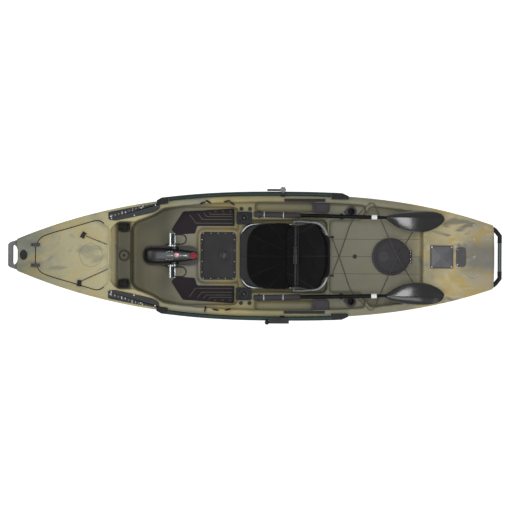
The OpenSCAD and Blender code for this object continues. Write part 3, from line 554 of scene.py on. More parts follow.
# Bow hatch: a rotomoulded lid in the hull's colours, domed with the deck and turned down at its
# aft edge, on a black rubber seal. Two strap hinges and two hooked elastic cords hold it.
def outset(points, d):
    """The outline moved outwards by d along its corners' bisectors."""
    out = []
    n = len(points)
    for i in range(n):
        p, a, b = Vector(points[i]), Vector(points[i - 1]), Vector(points[(i + 1) % n])
        u, v = (p - a).normalized(), (b - p).normalized()
        nu, nv = Vector((u.y, -u.x)), Vector((v.y, -v.x))
        miter = (nu + nv).normalized()
        out.append(tuple(p + miter * (-d / max(0.4, miter.dot(nu)))))
    return out


def domed(name, outline, layers):
    """Closed solid from (inset, height) layers of an outline, from its foot to its crown."""
    rings = []
    for inset, level in layers:
        edge = outset(outline, -inset)
        rings.append([(x, y, level(x, y)) for x, y in edge])
    centre = Vector((sum(p[0] for p in outline) / len(outline), sum(p[1] for p in outline) / len(outline)))
    edge, level = outset(outline, -layers[-1][0]), layers[-1][1]
    for share in (0.85, 0.7, 0.55, 0.4, 0.25, 0.1):
        ring = [centre + (Vector(p) - centre) * share for p in edge]
        rings.append([(p.x, p.y, level(p.x, p.y)) for p in ring])
    return tidy(skin(name, rings))


LID_TOP = 0.0168
TURN_DOWN = -1.104
lid_outline = rounded(mirrored(LID_EDGE), 0.03, 6)
lid_top = lambda x, y: deck(x, y) + LID_TOP - 0.85 * max(0.0, x - TURN_DOWN)
bow_lid = domed("bow_lid", lid_outline, [
    (0.004, lambda x, y: lid_top(x, y) - 0.015), (0, lambda x, y: lid_top(x, y) - 0.011),
    (0, lambda x, y: lid_top(x, y) - 0.005), (0.0015, lambda x, y: lid_top(x, y) - 0.0015),
    (0.005, lid_top),
    (0.02, lid_top), (0.042, lid_top)])
smooth(bow_lid, 50)
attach(bow_lid, "bow_lid")
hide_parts("bow_hatch_lid")
bow_lid.data.materials.append(camo_plastic("camo_lid", 1.03, (-1.215, 0.0, 0.084)))


def plastic(name, colour, roughness, grain=700.0, depth=0.0002, spread=0.10, metallic=0.0, gloss=0.3):
    """Moulded or coated finish with a faint mottle, a fine grain and an even gloss."""
    paint, net, shader = material(name)
    field = noise(net, 14, 3.0)
    tint = ramp(net, field.outputs["Fac"], [(0.35, tuple(c * (1 - spread) for c in colour)),
                                                     (0.65, tuple(c * (1 + spread) for c in colour))])
    net.links.new(tint.outputs["Color"], shader.inputs["Base Color"])
    sheen = ramp(net, field.outputs["Fac"], [(0.3, (roughness * 0.9,) * 3),
                                             (0.7, (min(1, roughness * 1.1),) * 3)])
    net.links.new(sheen.outputs["Color"], shader.inputs["Roughness"])
    shader.inputs["Metallic"].default_value = metallic
    shader.inputs["Specular IOR Level"].default_value = gloss
    pebble = noise(net, grain, 2.0)
    bump(net, shader, pebble.outputs["Fac"], depth)
    return paint


rubber = plastic("seal_rubber", (0.005, 0.005, 0.005), 0.75, gloss=0.15)
seal_outer, seal_inner = outset(lid_outline, 0.007), outset(lid_outline, -0.014)
seal_rings = [[(x, y, deck(x, y) - 0.0008) for x, y in seal_outer],
              [(x, y, deck(x, y) + 0.0022) for x, y in seal_outer],
              [(x, y, deck(x, y) + 0.0034) for x, y in outset(lid_outline, 0.001)],
              [(x, y, deck(x, y) + 0.0034) for x, y in seal_inner],
              [(x, y, deck(x, y) - 0.0008) for x, y in seal_inner]]
seal_rings = [[(x, y, z - 1.7 * max(0.0, x - TURN_DOWN)) for x, y, z in ring] for ring in seal_rings]
bow_seal = tidy(skin("bow_seal", seal_rings, closed=True))
smooth(bow_seal, 40)
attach(bow_seal, "bow_lid")
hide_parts("bow_hatch_seal")
bow_seal.data.materials.append(rubber)

# Seat: a sling of black mesh over foam on an aluminium frame. The base has a grey rolled front
# and seams that fan out from the back; the backrest is one padded shell round its tube.
BACK_PIVOT = Vector((0.290, 0, 0.338))
BACK_LEAN = math.radians(42)


def cloth(name, colour, border=None, seams=()):
    """Woven cover: a fine crossed weave, a paler border and stitched seams, each with its groove."""
    paint, net, shader = material(name)
    x, y, _ = coordinates(net)
    threads = times(net, maths(net, "SINE", times(net, x, 2600)),
                    maths(net, "SINE", times(net, y, 2600)))
    cloudy = noise(net, 12, 3.0)
    tone = ramp(net, cloudy.outputs["Fac"], [(0.35, tuple(c * 0.8 for c in colour)),
                                             (0.65, tuple(c * 1.25 for c in colour))])
    colour_out = tone.outputs["Color"]
    groove = None
    if border:
        start, curve, paler = border
        edge = scaled(net, maths(net, "POWER", times(net, size_of(net, y), 4.5), 4.0),
                     curve, start)
        past = minus(net, x, edge)
        mask = rest_of(net, step(net, past, -0.002, 0.002))
        colour_out = blend(net, mask, colour_out, paler)
        groove = step(net, size_of(net, past), 0.0, 0.005)
    for cx, cy, count in seams:
        turn = maths(net, "ARCTAN2", minus(net, y, cy),
                     minus(net, cx, x))
        wave = size_of(net, maths(net, "SINE", times(net, turn, count)))
        line = step(net, wave, 0.0, 0.10)
        groove = times(net, groove, line) if groove else line
    if groove:
        colour_out = blend(net, times(net, rest_of(net, groove), 0.5),
                           colour_out, shown(40, 40, 40))
    net.links.new(colour_out, shader.inputs["Base Color"])
    shader.inputs["Roughness"].default_value = 0.92
    shader.inputs["Specular IOR Level"].default_value = 0.12
    shader.inputs["Sheen Weight"].default_value = 0.05
    weave = bump(net, shader, threads, 0.00025)
    puff = noise(net, 8, 2.0)
    soft = bump(net, shader, puff.outputs["Fac"], 0.010, weave)
    if groove:
        bump(net, shader, groove, 0.003, soft)
    return paint


seat_edge = rounded(mirrored([(-0.118, 0.150), (-0.108, 0.174), (-0.062, 0.206), (-0.014, 0.236),
                              (0.200, 0.250), (0.270, 0.236)]), 0.05, 6)
sag = lambda x, y: -0.012 * max(0.0, 1 - (y / 0.22) ** 2) * max(0.0, 1 - ((x - 0.09) / 0.16) ** 2)
seat_pad = domed("seat_pad", seat_edge, [
    (0.012, lambda x, y: 0.2625), (0.003, lambda x, y: 0.266), (0, lambda x, y: 0.274),
    (0.001, lambda x, y: 0.283),
    (0.005, lambda x, y: 0.291), (0.012, lambda x, y: 0.296), (0.022, lambda x, y: 0.299),
    (0.034, lambda x, y: 0.2985), (0.050, lambda x, y: 0.296 + sag(x, y))])
smooth(seat_pad, 60)
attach(seat_pad, "seat")
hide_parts("seat_base")
seat_pad.data.materials.append(cloth("seat_base_cloth", shown(12, 12, 12),
                                     (-0.066, 0.075, shown(52, 51, 51)),
                                     [(0.31, 0.0, 7.5)]))


def leaned(piece):
    """Takes a piece drawn in the backrest's own plane to its place on the pivot."""
    piece.data.transform(Matrix.Translation(BACK_PIVOT) @ Matrix.Rotation(BACK_LEAN, 4, "Y"))
    return piece


back_edge = rounded([(y, z) for y, z in [(-0.194, -0.026), (0.194, -0.026), (0.206, 0.070), (0.226, 0.215),
                     (0.205, 0.262), (0.120, 0.318), (0.060, 0.336), (-0.060, 0.336), (-0.120, 0.318),
                     (-0.205, 0.262), (-0.226, 0.215), (-0.206, 0.070)]], 0.05, 6)
waist = lambda y, z: -0.016 * max(0.0, 1 - (y / 0.20) ** 2) * (1 if z < 0.26 else max(0.0,
        (0.33 - z) / 0.07))
back_layers = [(0.014, -0.004), (0.004, -0.008), (0, -0.016), (0.0015, -0.026), (0.008, -0.034),
               (0.018, -0.038)]
rings = []
for inset, depth in back_layers:
    rings.append([(depth, y, z) for y, z in outset(back_edge, -inset)])
middle = Vector((0, 0.15))
edge = outset(back_edge, -0.018)
for share in (0.93, 0.8, 0.65, 0.5, 0.35, 0.2, 0.08):
    ring = [middle + (Vector(p) - middle) * share for p in edge]
    rings.append([(-0.038 - waist(p.x, p.y) * (1 - share) * 0.9, p.x, p.y) for p in ring])
back_pad = leaned(tidy(skin("back_pad", rings)))
smooth(back_pad, 60)
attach(back_pad, "backrest")
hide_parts("seat_back")
back_pad.data.materials.append(cloth("back_cloth", shown(11, 11, 11), None, [(0.02, 0.0, 6.0)]))

# Headband: the cover's padded sleeve of black cloth, laced round the top of the backrest's tube,
# with the bare tube showing at both shoulders.
def sweep(name, route, radius, sides=14, flat=1.0):
    """Round or flattened tube along a route."""
    rings = []
    points = [Vector(p) for p in route]
    side = None
    for i, p in enumerate(points):
        t = (points[min(i + 1, len(points) - 1)] - points[max(i - 1, 0)]).normalized()
        if side is None:
            side = t.cross(Vector((0, 0, 1))) if abs(t.z) < 0.9 else t.cross(Vector((1, 0, 0)))
        side = (side - t * side.dot(t)).normalized()
        up = t.cross(side)
        r = radius(i / (len(points) - 1)) if callable(radius) else radius
        rings.append([tuple(p + r * (math.cos(a) * side + flat * math.sin(a) * up))
                      for a in (2 * math.pi * k / sides for k in range(sides))])
    return tidy(skin(name, rings))


def curve(points, count):
    """Smooth route through the points."""
    pts = [Vector(p) for p in points]
    pts = [2 * pts[0] - pts[1]] + pts + [2 * pts[-1] - pts[-2]]
    out = []
    spans = len(pts) - 3
    for k in range(count + 1):
        u = k / count * spans
        i = min(int(u), spans - 1)
        t = u - i
        a, b, c, d = pts[i:i + 4]
        bend, twist = 2 * a - 5 * b + 4 * c - d, 3 * b - a - 3 * c + d
        out.append(0.5 * (2 * b + (c - a) * t + bend * t ** 2 + twist * t ** 3))
    return out


band = sweep("headband", curve([(0.020, -0.150, 0.300), (0.022, -0.118, 0.312), (0.022, -0.06, 0.317),
                                (0.022, 0, 0.318),
                                (0.022, 0.06, 0.317), (0.022, 0.118, 0.312), (0.020, 0.150, 0.300)], 40),
             lambda t: 0.0225 * min(1.0, 0.75 + 3 * min(t, 1 - t)), 18, flat=0.9)
leaned(band)
smooth(band, 60)
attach(band, "backrest")
band.data.materials.append(cloth("band_cloth", shown(26, 26, 27)))

back_tube = sweep("back_tube", curve([(0, 0.256, 0.004), (0.006, 0.256, 0.06), (0.013, 0.248, 0.13),
                                      (0.018, 0.240, 0.205),
                  (0.022, 0.222, 0.250), (0.026, 0.184, 0.290), (0.028, 0.126, 0.312), (0.028, 0, 0.316),
                  (0.028, -0.126, 0.312), (0.026, -0.184, 0.290), (0.022, -0.222, 0.250),
                  (0.018, -0.240, 0.205),
                  (0.013, -0.248, 0.13), (0.006, -0.256, 0.06), (0, -0.256, 0.004)], 90), 0.0118, 16)
hubs = []
for y in (-0.256, 0.256):
    bpy.ops.object.select_all(action="DESELECT")
    bpy.ops.mesh.primitive_cylinder_add(vertices=32, radius=0.0125, depth=0.0125, location=(0, y, 0),
                                        rotation=(math.pi / 2, 0, 0))
    hub = bpy.context.object
    hub.data.transform(hub.matrix_world)
    hub.matrix_world = Matrix.Identity(4)
    hubs.append(hub)
back_tube = leaned(join([back_tube] + hubs, "back_tube"))
smooth(back_tube, 40)
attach(back_tube, "backrest")
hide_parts("seat_back_frame")
alloy = plastic("satin_alloy", shown(150, 158, 158), 0.34, metallic=0.9)
back_tube.data.materials.append(alloy)

seat_z = 0.249
seat_route = [(0.262, 0.236), (0.100, 0.236), (-0.020, 0.236), (-0.070, 0.218), (-0.102, 0.176),
              (-0.110, 0.126), (-0.110, 0)]
seat_route = [(x, y, seat_z) for x, y in seat_route] + [(x, -y, seat_z) for x,
                                                        y in reversed(seat_route[:-1])]
seat_tube = sweep("seat_tube", curve(seat_route, 110), 0.0119, 16)
legs = []
for x in (0.010, 0.235):
    for y in (-0.236, 0.236):
        bpy.ops.object.select_all(action="DESELECT")
        bpy.ops.mesh.primitive_cylinder_add(vertices=28, radius=0.010, depth=0.0485,
                                            location=(x, y, 0.2247))
        leg = bpy.context.object
        leg.data.transform(leg.matrix_world)
        leg.matrix_world = Matrix.Identity(4)
        legs.append(leg)
seat_tube = join([seat_tube] + legs, "seat_tube")
smooth(seat_tube, 40)
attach(seat_tube, "seat")
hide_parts("seat_frame")
seat_tube.data.materials.append(alloy)

# Back strap: flat woven webbing across the backrest, sewn in at both sides, with a moulded
# side-release buckle at its middle.
def block(name, centre, size, radius=0.002, segments=3):
    """Box with rounded edges at its place."""
    bpy.ops.object.select_all(action="DESELECT")
    bpy.ops.mesh.primitive_cube_add(size=1, location=centre)
    piece = bpy.context.object
    piece.name = name
    piece.data.transform(Matrix.Translation(centre) @ Matrix.Diagonal((*size, 1)))
    piece.location = (0, 0, 0)
    use(piece, "BEVEL", width=radius, segments=segments, limit_method="NONE")
    return piece


strap = leaned(join([block("strap", (-0.0405, 0, 0.050), (0.002, 0.43, 0.020), 0.0008),
                     block("strap_edge", (-0.0408, 0, 0.078), (0.002, 0.43, 0.006), 0.0008)], "back_strap"))
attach(strap, "backrest")
webbing = cloth("webbing", shown(58, 58, 58))
strap.data.materials.append(webbing)
buckle = leaned(join([block("buckle", (-0.0435, -0.022, 0.050), (0.008, 0.070, 0.040), 0.003),
                      block("buckle_tongue", (-0.0432, 0.038, 0.050), (0.007, 0.044, 0.032), 0.0025),
                      block("buckle_bar", (-0.0430, 0.066, 0.050), (0.009, 0.008, 0.040), 0.002)],
                      "buckle"))
smooth(buckle, 40)
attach(buckle, "backrest")
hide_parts("seat_buckle")
buckle.data.materials.append(plastic("buckle_nylon", shown(52, 52, 52), 0.5, gloss=0.35))

# Foot pads: closed-cell foam glued to the footwell floor, dark grey on top, with grooves routed
# down to the paler layer along the side that carries the foot, and three pressed squares.
def routed(grooves, name, colour, pale):
    paint, net, shader = material(name)
    x, y, _ = coordinates(net)
    y = size_of(net, y)
    lines = None
    for line_y, turn_x in grooves:
        bend = larger(net, minus(net, turn_x, x), 0.0)
        height = scaled(net, bend, 1.35, line_y)
        gap = size_of(net, minus(net, y, height))
        slope = scaled(net, step(net, bend, 0.0, 0.001), 0.0016, 0.0022)
        line = below(net, gap, slope)
        lines = larger(net, lines, line) if lines else line
    inside = times(net, below(net, x, -0.176),
                   below(net, y, scaled(net, x, 0.12, 0.372)))
    lines = times(net, lines, inside)
    squares = None
    for sx in (-0.306, -0.250, -0.193):
        far = larger(net, size_of(net, minus(net, x, sx)),
                    size_of(net, minus(net, y, 0.337)))
        square = below(net, far, 0.0085)
        squares = larger(net, squares, square) if squares else square
    mottle = noise(net, 420, 2.0)
    tone = ramp(net, mottle.outputs["Fac"], [(0.35, tuple(c * 0.8 for c in colour)),
                                             (0.65, tuple(c * 1.2 for c in colour))])
    out = blend(net, lines, tone.outputs["Color"], pale)
    out = blend(net, times(net, squares, 0.35), out, pale)
    net.links.new(out, shader.inputs["Base Color"])
    shader.inputs["Roughness"].default_value = 0.95
    shader.inputs["Specular IOR Level"].default_value = 0.08
    carved = rest_of(net, larger(net, lines, squares))
    first = bump(net, shader, carved, 0.002)
    bump(net, shader, mottle.outputs["Fac"], 0.0005, first)
    return paint


PAD_EDGE = [(-0.608, 0.160), (-0.638, 0.193), (-0.634, 0.208), (-0.553, 0.334), (-0.165, 0.360),
            (-0.161, 0.226), (-0.446, 0.226), (-0.462, 0.169)]
pads = []
for s in (1, -1):
    edge = [(x, s * y) for x, y in (PAD_EDGE if s < 0 else reversed(PAD_EDGE))]
    edge = rounded(edge, 0.012, 4)
    base, top = 0.1503, 0.1583
    layers = [(0, base), (0, top - 0.002), (0.0008, top - 0.0006), (0.0025, top)]
    pads.append(tidy(skin("pad", [[(x, y, z) for x, y in outset(edge, inset)] for inset, z in layers])))
foot_pads = join(pads, "foot_pads_foam")
smooth(foot_pads, 50)
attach(foot_pads, "hull")
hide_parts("foot_pads")
foot_pads.data.materials.append(routed([(0.247, -0.455), (0.276, -0.408), (0.298, -0.374), (0.315, -0.344)],
                                       "pad_foam", shown(48, 45, 49), shown(104, 98, 88)))

# Gear boards: two flat nylon rails screwed to the gunwales ahead of the footwell. Their outer
# edges carry a moulded rule with white strokes, and steel screws hold them.
ticks, net, shader = material("board_with_rule")
x, y, z = coordinates(net)
y = size_of(net, y)
stroke = None
for pitch, width, low, high in ((0.0254, 0.0016, 0.010, 0.022), (0.0762, 0.0030, 0.004, 0.026)):
    wave = maths(net, "PINGPONG", x, pitch / 2)
    one = below(net, wave, width)
    edge_y = scaled(net, x, 0.335, 0.6625)
    inset = minus(net, edge_y, y)
    zone = times(net, above(net, inset, low),
                 below(net, inset, high))
    one = times(net, one, zone)
    stroke = larger(net, stroke, one) if stroke else one
worn = noise(net, 60, 2.0)
stroke = times(net, stroke, ramp(net, worn.outputs["Fac"],
               [(0.40, (0.25, 0.25, 0.25)), (0.55, (1, 1, 1))]).outputs["Color"])
grey = ramp(net, worn.outputs["Fac"], [(0.3, shown(52, 52, 54)), (0.7, shown(62, 62, 64))])
net.links.new(blend(net, stroke, grey.outputs["Color"], shown(200, 200, 196)), shader.inputs["Base Color"])
shader.inputs["Roughness"].default_value = 0.62
shader.inputs["Specular IOR Level"].default_value = 0.2
grain = noise(net, 500, 2.0)
bump(net, shader, grain.outputs["Fac"], 0.0004)
boards = []
for s in (1, -1):
    outer = [(x_, beam(x_) - 0.019) for x_ in [-0.713 - 0.379 * k / 10 for k in range(11)]]
    edge = [(-1.092, 0.268), (-1.084, 0.262), (-1.037, 0.256), (-0.765, 0.316), (-0.730, 0.334),
            (-0.713, 0.352)] + outer
    edge = [(a, s * b) for a, b in edge]
    if s > 0:
        edge = edge[::-1]
    edge = rounded(edge, 0.006, 3)
    rings = []
    for inset, lift in ((0, 0.0004), (0, 0.0075), (0.0008, 0.0086), (0.003, 0.009), (0.012, 0.009)):
        ring = outset(edge, -inset)
        rings.append([(a, b, deck(a, b) + lift) for a, b in ring])
    boards.append(tidy(skin("board", rings)))
boards = join(boards, "gear_boards_nylon")
smooth(boards, 40)
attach(boards, "hull")
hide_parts("gear_boards")
boards.data.materials.append(ticks)
BOARD_T = 0.009
BOARD_SCREWS = [(-1.075, 0.288), (-0.965, 0.318), (-0.850, 0.352), (-0.745, 0.372), (-1.068, 0.272),
                (-0.900, 0.296)]


def screw_head(place, radius, height):
    bpy.ops.object.select_all(action="DESELECT")
    bpy.ops.mesh.primitive_uv_sphere_add(segments=20, ring_count=10, radius=1, location=(0, 0, 0))
    head = bpy.context.object
    head.data.transform(Matrix.Translation(place) @ Matrix.Diagonal((radius, radius, height, 1)))
    return head


screws = []
for s in (1, -1):
    for a, b in BOARD_SCREWS:
        screws.append(screw_head((a, s * b, deck(a, s * b) + BOARD_T), 0.0052, 0.0022))
screws = join(screws, "board_screws")
smooth(screws, 60)
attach(screws, "hull")
screw_steel = plastic("screw_steel", shown(205, 205, 200), 0.35, metallic=0.7)
screws.data.materials.append(screw_steel)

# Pedal drive: a glossy black moulded spine clamped over its well, ribbed where the pedal arms
# leave it. A machined hub with a pinkish anodised cap sits between the arms.
def lozenge(name, stations, sides=36):
    """Rounded body along X from (x, half width, low, high) stations, fuller than an ellipse."""
    rings = []
    for x_, w, low, high in stations:
        ring = []
        for k in range(sides):
            a = 2 * math.pi * k / sides
            c, d = math.cos(a), math.sin(a)
            ring.append((x_, w * math.copysign(abs(c) ** 0.6, c),
                         (low + high) / 2 + (high - low) / 2 * math.copysign(abs(d) ** 0.75, d)))
        rings.append(ring)
    return tidy(skin(name, rings))


def turned(name, profile, sides=28):
    """Solid of revolution about X from (x, radius) pairs."""
    rings = [[(x, r * math.cos(2 * math.pi * k / sides),
               r * math.sin(2 * math.pi * k / sides)) for k in range(sides)]
             for x, r in profile]
    return tidy(skin(name, rings))


spine_black = plastic("drive_black", shown(20, 20, 21), 0.34, 500, 0.0002, gloss=0.5)
shell = lozenge("shell", [(-0.8425, 0.022, 0.185, 0.200), (-0.840, 0.038, 0.168, 0.222),
                          (-0.828, 0.050, 0.158, 0.242),
                          (-0.808, 0.057, 0.152, 0.256), (-0.780, 0.060, 0.151, 0.263),
                          (-0.740, 0.060, 0.151, 0.260),
                          (-0.700, 0.0585, 0.151, 0.254), (-0.660, 0.055, 0.151, 0.248),
                          (-0.600, 0.050, 0.151, 0.240),
                          (-0.540, 0.043, 0.151, 0.231), (-0.490, 0.035, 0.151, 0.2225),
                          (-0.455, 0.031, 0.153, 0.217),
                          (-0.444, 0.020, 0.165, 0.205)])
plate = tidy(skin("plate", [[(x_, y_, z_) for x_, y_ in outset(oblong(-0.643, 0, 0.401, 0.130, 0.050),
        -inset)]
                            for inset, z_ in ((0, 0.1504), (0, 0.172), (0.003, 0.178), (0.009, 0.1804))]))
ribs = [block("rib", (x_, 0, 0.225 - 0.15 * abs(x_ + 0.64)), (0.005, 0.088 - 0.2 * abs(x_ + 0.64), 0.05),
              0.0015)
        for x_ in (-0.712, -0.700, -0.688, -0.560, -0.548, -0.536)]
boss = [turned("boss", [(-0.012, 0.030), (-0.010, 0.033), (0.010, 0.033), (0.012, 0.030)],
               40) for _ in range(2)]
for b, y_ in zip(boss, (0.056, -0.056)):
    b.data.transform(Matrix.Translation((-0.616, y_, 0.186)) @ Matrix.Rotation(math.pi / 2, 4, "Z"))
spine = join([shell, plate] + ribs + boss, "drive_spine_moulding")
leg = turned("leg", [(0, 0.064), (0.002, 0.065), (0.131, 0.065), (0.132, 0.062)], 48)
leg.data.transform(Matrix.Translation((-0.640, 0, 0.0185)) @ Matrix.Rotation(-math.pi / 2, 4, "Y"))
spine = join([spine, leg], "drive_spine_moulding")
smooth(spine, 40)
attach(spine, "hull")
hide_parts("drive_spine")
spine.data.materials.append(spine_black)

trim = [turned("cap", [(0, 0.001), (0.001, 0.016), (0.004, 0.018), (0.006, 0.018)], 36)]
trim[0].data.transform(Matrix.Translation((-0.596, 0.004, 0.2475)) @ Matrix.Rotation(math.pi / 2, 4, "Y"))
hub = join(trim, "drive_cap")
smooth(hub, 40)
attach(hub, "hull")
hub.data.materials.append(plastic("rose_anodised", shown(205, 150, 160), 0.3, metallic=0.75))
bright = join([block("bar", (-0.548, 0.0, 0.2385), (0.060, 0.009, 0.004), 0.0015),
               block("bar", (-0.645, 0.0, 0.2505), (0.050, 0.007, 0.004), 0.0015)]
              + [block("clip", (-0.640 + dx, dy, 0.246), (0.010, 0.006, 0.006), 0.001)
                 for dx, dy in ((-0.030, 0.026), (-0.012, 0.031), (0.008, 0.030), (-0.030, -0.028),
                                (-0.008, -0.032), (0.012, -0.030))],
              "drive_links")
smooth(bright, 40)
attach(bright, "hull")
bright.data.materials.append(alloy)

# Steering grips: a black handle on each base, a low boss with a curved lever over it.
STEER_X, STEER_Y, LEVER_R = -0.087, 0.283, 0.030
lever_paint = plastic("lever_black", shown(16, 20, 20), 0.35, gloss=0.5)
for s, side_name in ((1, "starboard"), (-1, "port")):
    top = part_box("steering_knob_" + side_name)[1][2]
    arc = [Vector((STEER_X + LEVER_R * math.cos(math.radians(t)),
                   s * (STEER_Y + LEVER_R * math.sin(math.radians(t))), top - 0.012))
           for t in range(60, 301, 15)]
    lever = sweep("steering_lever_" + side_name, arc, 0.0035, 12)
    boss_top = turned("boss", [(0, 0.013), (0.003, 0.014), (0.006, 0.011), (0.007, 0.002)], 32)
    boss_top.data.transform(Matrix.Translation((STEER_X, s * STEER_Y,
                                                top - 0.002)) @ Matrix.Rotation(-math.pi / 2, 4, "Y"))
    lever = join([lever, boss_top], "steering_lever_" + side_name)
    smooth(lever, 50)
    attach(lever, side_name + "_steering")
    lever.data.materials.append(lever_paint)

# Paddle halves: a foam grip with two rings, a carbon shaft, a white ferrule sleeve and a glossy
# black blade, spooned and creased along its spine. Each lies in two clips, blade aft.
def on_paddle(piece, s):
    """Takes a half drawn along +X to its place; s is 1 to starboard and -1 to port."""
    place = (Matrix.Translation((-0.013, 0.312, 0.296)) @ Matrix.Rotation(math.radians(-1.3), 4, "Z")
             @ Matrix.Rotation(math.radians(-4.6), 4, "Y"))
    piece.data.transform(place)
    if s < 0:
        piece.data.transform(Matrix.Diagonal((1, -1, 1, 1)))
        work = bmesh.new()
        work.from_mesh(piece.data)
        bmesh.ops.recalc_face_normals(work, faces=work.faces)
        work.to_mesh(piece.data)
        work.free()
    return piece


BLADE_EDGE = [(0.974, -0.010, 0.010), (0.990, -0.020, 0.016), (1.010, -0.034, 0.023),
              (1.040, -0.060, 0.032),
              (1.075, -0.082, 0.041), (1.115, -0.099, 0.048), (1.160, -0.109, 0.053),
              (1.205, -0.112, 0.056),
              (1.250, -0.111, 0.0565), (1.295, -0.099, 0.055), (1.335, -0.081, 0.051),
              (1.370, -0.057, 0.044),
              (1.392, -0.038, 0.034), (1.405, -0.020, 0.020), (1.412, -0.006, 0.006)]


def blade(name, inner, outer):
    """Thin spooned plate: each station is a section from the inboard edge over the spine."""
    rings = []
    for x, low, high in BLADE_EDGE:
        reach = (x - 0.974) / 0.438
        spine = 0.015 * math.sin(math.pi * min(1.0, reach * 1.15 + 0.12)) ** 0.7
        spoon = 0.010 * math.sin(math.pi * reach)
        top, under = [], []
        for k in range(15):
            v = -1 + 2 * k / 14
            y = (low * inner if v < 0 else high * outer) * abs(v)
            droop = 0.030 if v > 0 else 0.009
            fall = 0.010 * abs(v) ** 1.2 + droop * v ** 2 * math.sin(math.pi * reach)
            z = spine + spoon - fall
            thick = 0.0035 + 0.004 * (1 - abs(v))
            top.append((x, y, z))
            under.append((x, y, z - thick))
        rings.append(top + under[::-1])
    piece = tidy(skin(name, rings))
    use(piece, "SUBSURF", levels=1, render_levels=1)
    return piece


grip_paint = plastic("grip_foam", shown(62, 60, 64), 0.85, 320, 0.0006, gloss=0.12)
shaft_paint = plastic("carbon_shaft", shown(13, 13, 14), 0.55, gloss=0.15)
sleeve_paint = plastic("white_sleeve", shown(225, 226, 228), 0.4, gloss=0.3)
blade_paint, net, shader = material("blade_gloss")
shader.inputs["Base Color"].default_value = (*shown(10, 10, 12), 1)
shader.inputs["Roughness"].default_value = 0.18
shader.inputs["Specular IOR Level"].default_value = 0.65
shader.inputs["Coat Weight"].default_value = 0.5
shader.inputs["Coat Roughness"].default_value = 0.15
speckle = noise(net, 40, 2.0)
bump(net, shader, speckle.outputs["Fac"], 0.0008)
for s, side_name in ((1, "starboard"), (-1, "port")):
    grip = turned("grip", [(0, 0.016), (0.002, 0.0195), (0.006, 0.021), (0.072, 0.021), (0.0735, 0.0192),
                           (0.0785, 0.0192),
                           (0.080, 0.021), (0.216, 0.021), (0.2175, 0.0192), (0.2225, 0.0192),
                           (0.224, 0.021),
                           (0.340, 0.021), (0.347, 0.0185), (0.349, 0.0150)])
    grip.data.materials.append(grip_paint)
    rings_pair = [turned("grip_ring", [(x, 0.0186), (x, 0.0213), (x + 0.004, 0.0213),
                                       (x + 0.004, 0.0186)]) for x in (0.074, 0.218)]
    for r in rings_pair:
        r.data.materials.append(sleeve_paint)
    shaft = turned("shaft", [(0.345, 0.0145), (0.880, 0.0145), (0.930, 0.0115), (0.975, 0.0110),
                             (1.010, 0.0075)])
    shaft.data.materials.append(shaft_paint)
    sleeve = turned("sleeve", [(0.874, 0.0150), (0.875, 0.0175), (0.913, 0.0175), (0.915, 0.0150)])
    sleeve.data.materials.append(sleeve_paint)
    half_blade = blade("blade", 0.94 if s > 0 else 0.84, 1.04 if s > 0 else 1.3)
    half_blade.data.materials.append(blade_paint)
    half = join([half_blade, grip, shaft, sleeve] + rings_pair, "paddle_half_" + side_name)
    on_paddle(half, s)
    smooth(half, 50)
    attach(half, side_name + "_paddle")
    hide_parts("paddle_" + side_name)

# Rear hatch: a dark injection-moulded lid with a rolled rim and radial ribs that stiffen it. It
# turns on the hinge at its aft edge.
rear_paint = plastic("rear_lid_plastic", shown(56, 54, 58), 0.6, 380, 0.0004, gloss=0.2)
lid_low, lid_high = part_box("rear_hatch_lid")
centre_x, level = (lid_low[0] + lid_high[0]) / 2, lid_high[2]
rim_r = (lid_high[1] - lid_low[1]) / 2
lid = turned("rear_lid", [(lid_low[2], rim_r - 0.003), (lid_low[2] + 0.002, rim_r), (level - 0.003, rim_r),
                          (level, rim_r - 0.003),
                          (level + 0.0005, rim_r - 0.012), (level - 0.004, rim_r - 0.018),
                          (level - 0.003, rim_r - 0.030),
                          (level - 0.001, rim_r * 0.5), (level, 0.004)], 72)
lid.data.transform(Matrix.Translation((centre_x, 0, 0)) @ Matrix.Rotation(-math.pi / 2, 4, "Y"))
ribs = []
for k in range(12):
    a = math.radians(15 + 30 * k)
    rib = block("rib", (0.062, 0, level - 0.001), (0.036, 0.0035, 0.003), 0.001, 1)
    rib.data.transform(Matrix.Translation((centre_x, 0, 0)) @ Matrix.Rotation(a, 4, "Z"))
    ribs.append(rib)
rear = join([lid] + ribs, "rear_hatch_disc")
tidy(rear)
smooth(rear, 40)
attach(rear, "rear_lid")
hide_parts("rear_hatch_lid")
rear.data.materials.append(rear_paint)

# Shock cords: 6 mm elastic in a woven grey sleeve, hooked to the pad eyes and crossed over the
# cargo well. The sleeve's braid shows as a fine diagonal weave.
def woven(name, colour):
    paint, net, shader = material(name)
    x, y, _ = coordinates(net)
    weave = maths(net, "PINGPONG", maths(net, "ADD", x, y), 0.0016)
    weave = times(net, weave, 600)
    net.links.new(blend(net, weave, tuple(c * 0.75 for c in colour), tuple(c * 1.2 for c in colour)),
              shader.inputs["Base Color"])
    shader.inputs["Roughness"].default_value = 0.85
    shader.inputs["Specular IOR Level"].default_value = 0.15
    bump(net, shader, weave, 0.0003)
    return paint


cord_paint = woven("cord_weave", shown(84, 84, 78))

